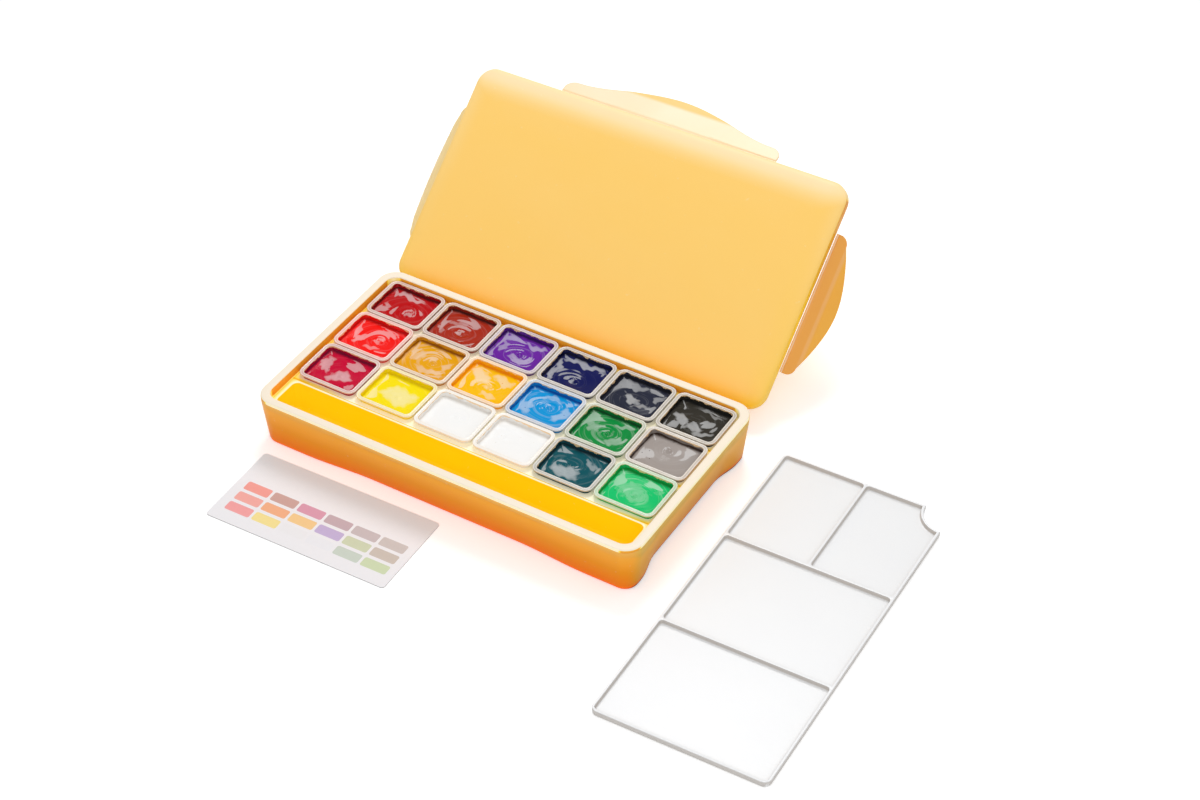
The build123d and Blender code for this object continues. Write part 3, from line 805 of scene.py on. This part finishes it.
def paste_surface(curl_x, curl_y, arms, turns, folds, swell, peak, seed, spots, around=120, rings=44):
    """The filled paste of one cup, with its painted gleam, painted reflection, edge and spiral values.

    Height = folds of a spiral, plus slow waves, plus the curl's peak less a moat round it, plus
    the climb at the walls. The spiral's phase is two pi times turns times the distance from the
    curl to the power 0.8, less the arms times the angle, plus a slow wander."""
    wall = even_ring(paste_length, paste_width, paste_corner, around)
    inwards = np.linspace(0, 1, rings)[:, None] ** 1.35
    share = np.concatenate([inwards[:1], 0.012 + 0.978 * inwards[1:]])[:, :, None]
    flat = wall * (1 - share) + np.array([curl_x, curl_y]) * share
    x, y = flat[..., 0], flat[..., 1]
    to_wall = np.minimum(paste_length / 2 - np.abs(x), paste_width / 2 - np.abs(y)) + 0.005
    u, v = (x - curl_x) / 17.0, (y - curl_y) / 14.0
    reach, angle = np.hypot(u, v), np.arctan2(v, u)
    wander = 0.5 * np.sin(2 * angle + seed) + 0.35 * np.sin(3 * angle - 1.7 * seed)
    wander = wander + 0.5 * np.sin(5 * reach + seed)
    phase = 2 * np.pi * turns * reach**0.8 - arms * angle + wander
    crest = 0.5 + 0.5 * np.sin(phase + 0.7 * np.sin(phase))
    fade = np.exp(-((reach / 0.95) ** 4)) * smoothstep(to_wall, 0.3, 3.0)
    patches = 0.55 + 0.45 * np.sin(2.1 * u + 1.3 * seed) * np.cos(2.7 * v - 0.8 * seed)
    fine = 0.08 * np.sin(3 * phase + 2 * seed) * patches
    waves = np.sin(0.21 * x + 0.12 * y + seed) + 0.8 * np.sin(0.11 * x - 0.24 * y + 2.3 * seed)
    tip = np.exp(-((x - curl_x - 0.3) ** 2 + (y - curl_y) ** 2) / 1.7)
    moat = np.exp(-((np.hypot(x - curl_x, y - curl_y) - 2.6) ** 2) / 0.9)
    ring_angle = np.linspace(0, 2 * np.pi, around, endpoint=False)[None, :]
    ragged = 0.9 + 0.5 * np.sin(5 * ring_angle + seed) + 0.35 * np.sin(13 * ring_angle + 3 * seed)
    climb = 0.8 * np.clip(ragged, 0.25, None) * np.exp(-np.clip(to_wall, 0, None) / 0.6)
    climb = climb + np.exp(-to_wall / 3.2)
    height = paste_level + 1.25 * folds * fade * (patches * crest + fine)
    height = height + 0.8 * swell * waves * smoothstep(to_wall, 0, 6)
    height = height + peak * tip - 0.35 * peak * moat + climb
    top = np.stack([x, y, height], axis=-1)
    along, inward = np.roll(top, -1, axis=1) - np.roll(top, 1, axis=1), np.gradient(top, axis=0)
    normal = np.cross(along, inward)
    normal /= np.linalg.norm(normal, axis=-1, keepdims=True) + 1e-9
    # The painted gleam, where the surface faces glint_way.
    gleam = smoothstep(normal @ glint_way, 0.985, 0.996)
    side = [np.append(wall * scale, np.full((around, 1), z), axis=1)[None] for scale, z in side_rings]
    pool = np.zeros_like(x)
    bent_x = x + 1.5 * np.sin(0.45 * y + seed) + 0.8 * np.sin(1.1 * y - 0.5 * x + 2 * seed)
    bent_y = y + 1.3 * np.sin(0.38 * x + 1.7 * seed) + 0.8 * np.sin(0.9 * x + 0.7 * y - seed)
    for spot_x, spot_y, long, short, degrees, amount in spots:
        c, s = math.cos(math.radians(degrees)), math.sin(math.radians(degrees))
        off_x, off_y = bent_x - spot_x, bent_y - spot_y
        across, upwards = off_x * c + off_y * s, off_y * c - off_x * s
        pool = np.maximum(pool, amount * smoothstep(-np.hypot(across / long, upwards / short), -1.4, -0.6))
    # The deep edge band is wider along the far wall, as painted shade where the wall's shadow falls.
    edge_width = 0.9 + 0.9 * smoothstep(y, 4, 13)

    def with_sides(on_top, on_side=0.0):
        """One value for all the side rings, and then the top's values ring by ring."""
        return np.concatenate([np.full((len(side), around), on_side), on_top])

    return (
        skin(np.concatenate([*side, top]), first=True, last=True),
        with_sides(gleam),
        with_sides(pool * smoothstep(to_wall, 0.4, 1.4)),
        with_sides(np.exp(-np.clip(to_wall, 0, None) / edge_width), 1.0),
        with_sides(phase / 20 + 0.5),
        with_sides(reach * 0.5),
    )


def lay_map(made, name, first, second):
    """Gives a mesh a flat map from two values per point, read at each face corner."""
    mesh = made.data
    corner_point = np.zeros(len(mesh.loops), np.int32)
    mesh.loops.foreach_get("vertex_index", corner_point)
    pair = np.stack([first.ravel()[corner_point], second.ravel()[corner_point]], axis=-1)
    mesh.uv_layers.new(name=name).data.foreach_set("uv", pair.astype(np.float32).ravel())


# %% Fill the tray
for number, ((x, y), pour) in enumerate(zip(cup_places, paints), start=1):
    name, colour, deep, ribbons = pour[:4]
    body = f"filled_cup_{number:02d}"
    piece(
        f"cup_{number:02d}_moulding", moved(cup_skin, x, y, well_floor),
        cup_plastic(f"cup_{name}", colour, deep), body, (f"cup_{number:02d}",), "cup_clear",
        tint=cup_tint_and_shade, smear=cup_smear,
    )
    surface, gleam, pool, edge, turn, round_it = paste_surface(*pour[4:], painted_reflections.get(name, []))
    paste = piece(
        f"paint_{number:02d}_paste", moved(surface, x, y, well_floor),
        wet_paste(f"paste_{name}", colour, deep, ribbons), body, (f"paint_{number:02d}",),
        f"paint_{name}", sharp=80, gleam=gleam, pool=pool, edge=edge,
    )
    lay_map(paste, "spiral", turn, round_it)

# %% [markdown]
# ## The lid
# The lid is a shallow tray of the same plastic, turned over: a straight skirt, a broad soft
# round to a flat top, and a rib inside that drops into the case. It is drawn lying flat with
# its parting edge at height 0, and then turned and put where the lid stands. The same turn
# carries its four flaps.


# %% Where the lid stands
def turned(surface, *matrices):
    """A surface carried through 4 by 4 matrices, the last one first."""
    points, faces = surface
    whole = np.linalg.multi_dot(matrices) if len(matrices) > 1 else matrices[0]
    return points @ whole[:3, :3].T + whole[:3, 3], faces


def shift(x=0.0, y=0.0, z=0.0):
    """The 4 by 4 matrix that carries by x, y and z."""
    matrix = np.eye(4)
    matrix[:3, 3] = x, y, z
    return matrix


def turn_about(axis, degrees):
    """The 4 by 4 matrix that turns about x (0), y (1) or z (2)."""
    matrix = np.eye(4)
    c, s = math.cos(math.radians(degrees)), math.sin(math.radians(degrees))
    first, second = (axis + 1) % 3, (axis + 2) % 3
    matrix[np.ix_((first, second), (first, second))] = (c, -s), (s, c)
    return matrix


lid_length, lid_width, lid_corner = 291.0, 164.5, 13.0
lid_lean, lid_turn = 39.4, 0.74
lid_place = np.linalg.multi_dot([
    shift(-8.8, 101.55, 11.3147), turn_about(2, lid_turn), turn_about(0, lid_lean), shift(y=lid_width / 2),
])
print("the lid leans at", lid_lean, "degrees to the table")

# %% Lid
lid_skirt, lid_height, lid_wall = 6.0, 10.5, 1.6
crown_width, crown_ease = 17.0, 0.12
crown_rise = lid_height - lid_skirt
crown_angles = np.radians(np.linspace(0, 90, 15))
outer = [(1.2, 0.0), (0.35, 0.0), (0.08, 0.12), (0.0, 0.4), (0.0, 3.0), (0.0, 5.2)]
outer += [
    (crown_width * (1 - math.cos(a)) + crown_ease * math.sin(2 * a), lid_skirt + crown_rise * math.sin(a))
    for a in crown_angles
]
outer += [(inset, lid_height) for inset in (22.0, 40.0, 70.0)]
hollow = [(inset, lid_height - lid_wall) for inset in (70.0, 40.0)]
hollow += [
    (lid_wall + crown_width * (1 - math.cos(a)), lid_skirt - lid_wall + crown_rise * math.sin(a))
    for a in crown_angles[::-1]
]
hollow += [(lid_wall, 2.0), (lid_wall, 0.3), (1.2, 0.0)]
rib = [(7.1, 8.3), (7.1, -2.2), (7.4, -2.5), (8.2, -2.5), (8.5, -2.2), (8.5, 8.3)]
shell_shape = (lid_length, lid_width, lid_corner)
outer_rings, hollow_rings = (
    profile_rings(*shell_shape, profile, 12, shrink=0.3, smallest=2.0) for profile in (outer, hollow)
)
rib_rings = profile_rings(lid_length, lid_width, 15.0, rib, 10)
lid_flat = joined(skin(outer_rings, last=True), skin(hollow_rings, first=True), skin(rib_rings[::-1]))
x, y, z = lid_flat[0].T
to_edge = np.minimum(lid_length / 2 - np.abs(x), lid_width / 2 - np.abs(y))
# Painted light and shade: deeper near the edges and along the lower edge, a painted highlight along the
# upper crown, painted shade down the right side and on the right skirt, and deeper at the parting edge.
tone = 0.5 + 0.08 * np.exp(-np.clip(to_edge, 0, None) / 3.0)
tone = tone + 0.22 * smoothstep(-y, 70, 82) - 0.35 * smoothstep(y, 58, 79)
tone = tone + 0.05 * smoothstep(x, 128, 142)
shaded_right_skirt = (x > lid_length / 2 - 0.6) & (z < 6.5) & (y > 50)
tone = np.clip(np.where(shaded_right_skirt, 1.0, np.where(z < 1.0, 0.72, tone)), 0, 1)
piece(
    "lid_moulding", turned(lid_flat, lid_place), lid_plastic, "lid", ("lid_cover",), "lid_amber",
    tone=tone,
)

# %% [markdown]
# ## The snap flaps
# Each flap hangs on a thin moulded line that flexes, so it looks like a pale groove between the
# lid and the flap. Past the groove come a panel, a soft crease and a bent finger tab. In plan the
# edge swells to the middle. The flap is a surface over two parameters, along the hinge and away
# from it, with a thickness that rounds off to nothing at the edge and thins at the hinge.


# %% Flap shape
hinge_out, hinge_down = 0.6, 0.4  # where a hinge line lies, from the lid's side and parting edge


def flap_reach(along, length, end, corner, tip, slope):
    """How far the flap reaches from its hinge: a rounded corner, then a cubic swell to the tip.

    The swell has the given slope at its foot and none at the tip."""
    shoulder = length / 2 - corner
    past = np.clip(np.abs(along) - shoulder, 0, corner)
    rounded = end - corner + np.sqrt(np.clip(corner**2 - past**2, 0, None))
    t = np.clip((shoulder - np.abs(along)) / shoulder, 0, 1)
    swell = slope * shoulder * (t**3 - 2 * t**2 + t) + (tip - end) * (3 * t**2 - 2 * t**3)
    return np.where(np.abs(along) > shoulder, rounded, end + swell)


def flap_surface(length, end, corner, crease, tip, slope, overhang):
    """A flap laid flat: hinge along x through the origin, panel towards +y, outer face up.

    Past the crease it goes down an arc of bend_radius, and then straight on at the bend's angle.
    Gives the surface, the tone (0 on the panel, 1 on the tab) and the hinge line's strength."""
    bend, bend_radius, thick, web, bead_reach = math.radians(18.0), 10.0, 0.8, 0.25, 0.7
    shoulder = length / 2 - corner
    bow = shoulder + corner * np.sin(np.linspace(0, math.pi / 2, 12))
    along = np.concatenate([-bow[::-1], np.linspace(-shoulder, shoulder, 72)[1:-1], bow])[:, None]
    reach = np.maximum(flap_reach(along, length, end, corner, tip, slope), end - corner) - 0.08
    near_edge = 1 - (1 - np.linspace(0, 1, 40)) ** 1.6
    away = -0.25 + (reach + 0.25) * near_edge[None, :]
    to_edge = np.minimum(reach - away, length / 2 - np.abs(along))
    round_off = np.sqrt(np.clip(1 - (1 - np.clip(to_edge / thick, 0, 1)) ** 2, 0, 1))
    over = (web + (thick - web) * smoothstep(away, 1.25, 1.75)) * round_off
    under = (web + (thick - web) * smoothstep(away, 1.3, 2.4)) * round_off
    turn = np.clip((away - crease) / bend_radius, 0, math.sin(bend))
    on_arc = np.arcsin(turn)
    past = np.clip(away - crease - bend_radius * math.sin(bend), 0, None)
    drop = bend_radius * (1 - np.cos(on_arc)) + past * math.tan(bend)
    x = np.broadcast_to(along, away.shape)

    def face(offset):
        """The flap's middle surface, moved out by the offset along its normal."""
        return np.stack([x, away + offset * np.sin(on_arc), offset * np.cos(on_arc) - drop], axis=-1)

    loop = np.concatenate([face(over), face(-under)[:, ::-1]], axis=1)
    sheet = skin(loop[::-1], first=True, last=True)
    bead_foot = -(overhang + hinge_out + bead_reach)
    bead_y = np.array([5.3, 5.3, 5.6, 6.0, 6.4, 7.7])
    bead_z = np.array([-0.7, bead_foot + 0.3, bead_foot, bead_foot, bead_foot + 0.3, -0.7])
    ends = np.linspace(-1, 1, 9)[:, None] * (length / 2 - 14.0)
    rail = np.stack(np.broadcast_arrays(ends, bead_y, bead_z), axis=-1)

    def all_round(values):
        """The upper face's values, the lower face's in mirror order, and none for the bead."""
        faces = np.concatenate([values, values[:, ::-1]], axis=1)[::-1].ravel()
        return np.append(faces, np.zeros(rail[..., 0].size))

    tone = np.clip((away - crease + 2.0) / 6.0, 0, 1)
    hinge = np.exp(-(((away - 0.6) / 0.6) ** 4))
    return joined(sheet, skin(rail, first=True, last=True)), all_round(tone), all_round(hinge)


# %% Flap material
def flap_plastic(name, panel, tab):
    """The lid's plastic, thin enough to flex: a whitened line at the hinge, and a painted highlight along
    the crease.
    """
    look = Look(name)
    point = look.place()
    past_crease = look.kept("tone")
    hinge = look.kept("hinge")
    flow = look.noise(look.place(scale=(1.0, 1.0, 2.0)), 14.0, 3.0, 0.55, 0.8)
    colour = look.mix(past_crease.smooth(0.25, 0.9), panel, tab)
    # Painted highlight: the crease is painted paler.
    crease = past_crease.smooth(0.02, 0.3) * past_crease.smooth(0.75, 0.4)
    colour = look.mix(crease * 0.14, colour, srgb(255, 240, 205))
    flow_mark = look.mix(flow, srgb(255, 255, 255), srgb(252, 240, 222))
    colour = look.mix(1.0, colour, flow_mark, "MULTIPLY")
    stress = look.noise(point, 300.0, 3.0, 0.7)
    whitened = look.mix(hinge.smooth(0.3, 0.9) * (0.35 + 0.3 * stress), colour, srgb(255, 240, 216))
    grain = look.noise(point, 900.0, 3.0, 0.6)
    return look.finish(
        Base_Color=whitened,
        Roughness=0.36 + (flow - 0.5) * 0.12,
        Normal=look.bump(grain + flow * 0.6, 0.00006, 0.5),
        IOR=1.49,
        Coat_Weight=0.12,
        Coat_Roughness=0.25,
    )


# Painted light and shade: three copies of one plastic. The rear flap is paler because it faces up into the
# light, the left one lies between, and the front and right ones are deeper orange as painted shade.
painted_light_flap = flap_plastic("flap_plastic_painted_light", srgb(252, 232, 198), srgb(252, 216, 132))
painted_half_light_flap = flap_plastic("flap_plastic_painted_half_light", srgb(255, 226, 150), srgb(255, 220, 128))
painted_shade_flap = flap_plastic("flap_plastic_painted_shade", srgb(244, 172, 70), srgb(252, 184, 60))

# %% Flaps in place
# name: side's turn, side's distance, opened by, sizes, lid's overhang over the case, plastic copy painted
# for its light
flap_kinds = {
    "flap_rear": (0, lid_width / 2, 27.0, long_flap, 2.1, painted_light_flap),
    "flap_left": (90, lid_length / 2, 38.0, short_flap, 0.5, painted_half_light_flap),
    "flap_front": (180, lid_width / 2, 113.7, long_flap, 2.1, painted_shade_flap),
    "flap_right": (270, lid_length / 2, 36.0, short_flap, 0.5, painted_shade_flap),
}
for name, (side, half, open_angle, kind, overhang, look) in flap_kinds.items():
    shape, tone, hinge = flap_surface(**kind, overhang=overhang)
    hinge_line = shift(y=half + hinge_out, z=-hinge_down)
    hung = [lid_place, turn_about(2, side), hinge_line, turn_about(0, -open_angle)]
    piece(
        name + "_moulding", turned(shape, *hung), look, name, (name,), "flap_amber", sharp=50,
        tone=tone, hinge=hinge,
    )

# %% [markdown]
# ## The mixing palette
# A white moulding with a raised rim, ribs between its wells and a finger notch in one corner.
# Its outline is a rounded rectangle with a round bite out of it, so the outline is worked out as
# one closed curve, and the rim is a profile carried along that curve and its wells' curves.


# %% Palette shape
palette_place = shift(227.8, -43.7) @ turn_about(2, 1.3)
palette_width, palette_length, palette_height, palette_floor = 120.0, 261.0, 4.5, 1.5


def bitten_ring(low, high, corners, bite, steps=10):
    """A rounded rectangle from low to high, its corners from the far right one round to the left.

    A bite (x, y, radius) takes away the far right corner."""
    angle = np.radians(np.linspace(0, 90, steps + 1))
    ring = []
    for k, ((sx, sy), corner) in enumerate(zip(((1, 1), (-1, 1), (-1, -1), (1, -1)), corners)):
        cx = (high[0] if sx > 0 else low[0]) - sx * corner
        cy = (high[1] if sy > 0 else low[1]) - sy * corner
        if k == 0 and bite:
            bx, by, radius = bite
            start = math.atan2(-math.sqrt(max(radius**2 - (high[0] - bx) ** 2, 0)), high[0] - bx)
            end = math.atan2(high[1] - by, -math.sqrt(max(radius**2 - (high[1] - by) ** 2, 0)))
            sweep = np.linspace(start, (end if end < 0 else end - 2 * math.pi), 2 * steps + 2)
            ring.append(np.stack([bx + radius * np.cos(sweep), by + radius * np.sin(sweep)], axis=-1))
        else:
            a = angle + k * math.pi / 2
            ring.append(np.stack([cx + corner * np.cos(a), cy + corner * np.sin(a)], axis=-1))
    return np.concatenate(ring)


def stacked(levels):
    """Rings from (ring of x, y; height) levels."""
    return np.stack([np.append(ring, np.full((len(ring), 1), z), axis=1) for ring, z in levels])


half_x, half_y, bite_r, rim, rib = palette_width / 2, palette_length / 2, 18.0, 1.8, 1.8
lip_round = 0.5


def palette_outline(inset):
    """The palette's outline, drawn in by the inset, with its bitten corner."""
    x, y, corner = half_x - inset, half_y - inset, max(5.0 - inset, 0.5)
    return bitten_ring((-x, -y), (x, y), [corner] * 4, (half_x, half_y, bite_r + inset))


outer_profile = [
    (0.9, 0.0), (0.35, 0.12), (0.0, 0.6),
    (0.0, palette_height - 0.6), (0.18, palette_height - 0.18), (lip_round, palette_height),
]
outer_levels = [(palette_outline(inset), height) for inset, height in outer_profile]
well_length = (palette_length - 2 * rim - 2 * rib) / 3
step_y = well_length + rib
inner_x, inner_half = half_x - rim, (palette_width - 2 * rim - rib) / 2
wells = [
    ((-inner_x, -step_y - well_length / 2), (inner_x, -step_y + well_length / 2), None),
    ((-inner_x, -well_length / 2), (inner_x, well_length / 2), None),
    ((-inner_x, step_y - well_length / 2), (-inner_x + inner_half, step_y + well_length / 2), None),
    (
        (inner_x - inner_half, step_y - well_length / 2), (inner_x, step_y + well_length / 2),
        (half_x, half_y, bite_r + rim),
    ),
]
# (inset, height) from the flat top over a well's rounded edge to its floor
well_profile = [
    (-0.3, palette_height), (-0.1, 4.42), (0.0, 4.2), (0.0, 2.2),
    (0.25, 1.75), (0.7, palette_floor), (1.6, palette_floor),
]


def well_surface(low, high, bite, cell_low, cell_high, cell_corners):
    """One well, from the flat top of its cell over a rounded edge, down its walls to its floor."""
    cell_bite = bite and (half_x, half_y, bite_r + lip_round)
    levels = [(bitten_ring(cell_low, cell_high, cell_corners, cell_bite), palette_height)]
    for inset, z in well_profile:
        ring = bitten_ring(
            (low[0] + inset, low[1] + inset), (high[0] - inset, high[1] - inset),
            [2.5 - min(inset, 1.0)] * 4, bite and (bite[0], bite[1], bite[2] + inset),
        )
        levels.append((ring, z))
    return skin(stacked(levels), last=True)


flat_x, flat_y = half_x - lip_round, half_y - lip_round
near_rib, far_rib, middle_rib = -step_y / 2, step_y / 2, 0.0
# each well's cell: its low and high corners, and its corner radii
cell_spans = [
    ((-flat_x, -flat_y), (flat_x, near_rib), (0.02, 0.02, 4.5, 4.5)),
    ((-flat_x, near_rib), (flat_x, far_rib), (0.02, 0.02, 0.02, 0.02)),
    ((-flat_x, far_rib), (middle_rib, flat_y), (0.02, 4.5, 0.02, 0.02)),
    ((middle_rib, far_rib), (flat_x, flat_y), (4.5, 0.02, 0.02, 0.02)),
]
palette = joined(
    skin(stacked(outer_levels), first=True),
    *(well_surface(*well, *span) for well, span in zip(wells, cell_spans)),
)
x, y, z = palette[0].T
# Painted shade: the walls of the wells and the palette's outer sides take the shade colour.
in_wall = (z < 4.3) & (np.abs(x) < half_x - 0.6) & (np.abs(y) < half_y - 0.6) & (z > 0.5)
tone = np.where(in_wall, np.interp(z, [palette_floor, 1.75, 2.2, 4.2], [0.0, 0.8, 1.0, 0.9]), 0.0)
tone = np.where((z < 4.0) & ~in_wall, 0.8, tone)
print("palette with", len(wells), "wells")

# %% Palette plastic
look = Look("palette_plastic")
point = look.place()
cloud = look.noise(point, 18.0, 3.0)
scuff = look.noise(look.place(scale=(1.0, 8.0, 1.0), turn=(0.0, 0.0, 0.6)), 120.0, 3.0, 0.7)
white = look.mix(cloud, srgb(243, 243, 243), srgb(239, 239, 240))
# The shade colour, painted shade for the well walls and outer sides.
shade = look.mix(cloud, srgb(204, 197, 190), srgb(196, 188, 180))
palette_look = look.finish(
    Base_Color=look.mix(look.kept("tone"), white, shade),
    Roughness=0.30 + 0.12 * scuff,
    Normal=look.bump(scuff * 0.6 + look.noise(point, 900.0, 3.0, 0.6) * 0.4, 0.00004, 0.5),
    IOR=1.49,
    Coat_Weight=0.15,
    Coat_Roughness=0.2,
)
piece(
    "palette_moulding", turned(palette, palette_place), palette_look, "palette", ("mixing_palette",),
    "palette_white", tone=tone,
)

# %% [markdown]
# ## The colour chart
# A coated card with one printed swatch for each cup, three rows of six. The swatches are drawn by
# the material: the point on the card, counted in columns and rows, picks a colour from a stepped
# ramp, and the distance to the middle of its cell cuts the rounded patch. The cut edge is painted
# dark, as painted shade, and the paper is painted cooler towards the far edge, against the warm
# light that the case throws on it. A faint emission towards the far edge, a painted glow, stands
# for light that the white sweep throws on the card.

# %% Printed card
card_length, card_width, card_corner, card_thick = 137.1, 67.3, 2.5, 0.5
card_x, card_y, card_turn = -63.1, -120.3, 1.25
look = Look("printed_card")
on_card = look.place(
    middle=(card_x * MM, card_y * MM, 0.0), turn=(0.0, 0.0, -math.radians(card_turn))
)
x, y, z = look.split(on_card)
column_pitch, row_pitch = 0.0210, 0.0106
first_x, first_y = -0.0624, 0.0071
across = (x - first_x) / column_pitch
down = (first_y - y) / row_pitch
column, row = across.floor(), down.floor()
inside = (across > 0.0) * (6.0 - across > 0.0) * (down > 0.0) * (3.0 - down > 0.0)
from_middle_x = abs(across - column - 0.5) * column_pitch
from_middle_y = abs(down - row - 0.5) * row_pitch
half_patch_x, half_patch_y, corner = 0.00965, 0.0041, 0.0016
past_x = (from_middle_x - (half_patch_x - corner)).largest(0.0)
past_y = (from_middle_y - (half_patch_y - corner)).largest(0.0)
patch = ((past_x**2 + past_y**2) ** 0.5).smooth(corner, corner - 0.00025) * inside
inks = {
    "rose": (250, 152, 138), "clay": (206, 158, 146), "pink": (222, 146, 170),
    "mauve": (198, 168, 174), "warm grey": (202, 186, 186), "stone": (206, 194, 188),
    "coral": (250, 168, 156), "orange": (250, 174, 122), "apricot": (252, 206, 132),
    "lilac": (198, 176, 218), "moss": (210, 216, 178), "sand": (206, 192, 178),
    "blush": (250, 158, 156), "lemon": (253, 230, 140), "white": (244, 243, 244),
    "cool white": (243, 243, 246), "sage": (204, 215, 200), "leaf": (208, 222, 176),
}
stops = [(k / len(inks), srgb(*ink)) for k, ink in enumerate(inks.values())]
which = (row * 6.0 + column + 0.5) / len(inks)
ink = look.node("ShaderNodeValToRGB", {"stops": stops, "ramp": "CONSTANT"}, which)
fibre = look.noise(look.place(), 700.0, 3.0, 0.7)
mottle = look.noise(look.place(), 260.0, 2.0, 0.6)
paper = look.mix(mottle * 0.5, srgb(246, 244, 246), srgb(238, 236, 239))
# Painted light: the paper is painted cooler towards the far edge, against the warm light that the case
# throws on it.
paper = look.mix(y.smooth(0.006, 0.034) * 0.35, paper, srgb(214, 236, 246))
inked = look.mix(mottle * 0.25, ink, look.mix(1.0, ink, srgb(240, 232, 236), "MULTIPLY"))
printed = look.mix(patch * 0.92, paper, inked)
card_look = look.finish(
    # Painted shade: the cut edge is painted dark.
    Base_Color=look.mix(z.smooth(0.00034, 0.00046), srgb(120, 112, 108), printed),
    Roughness=0.42 - 0.08 * patch + 0.1 * fibre,
    Normal=look.bump(fibre + patch * 0.8, 0.00002, 0.6),
    Emission_Color=look.mix(y.smooth(-0.01, 0.034), (0.0, 0.0, 0.0, 1.0), srgb(225, 248, 255)),
    Emission_Strength=0.07,
    IOR=1.45,
    Specular_IOR_Level=0.3,
)
card_profile = [(0.1, 0.0), (0.0, 0.08), (0.0, 0.42), (0.08, card_thick)]
card_rings = profile_rings(card_length, card_width, card_corner, card_profile)
card_place = shift(card_x, card_y) @ turn_about(2, card_turn)
card = turned(skin(card_rings, first=True, last=True), card_place)
piece("chart_card", card, card_look, "chart", ("colour_chart",), "card_white")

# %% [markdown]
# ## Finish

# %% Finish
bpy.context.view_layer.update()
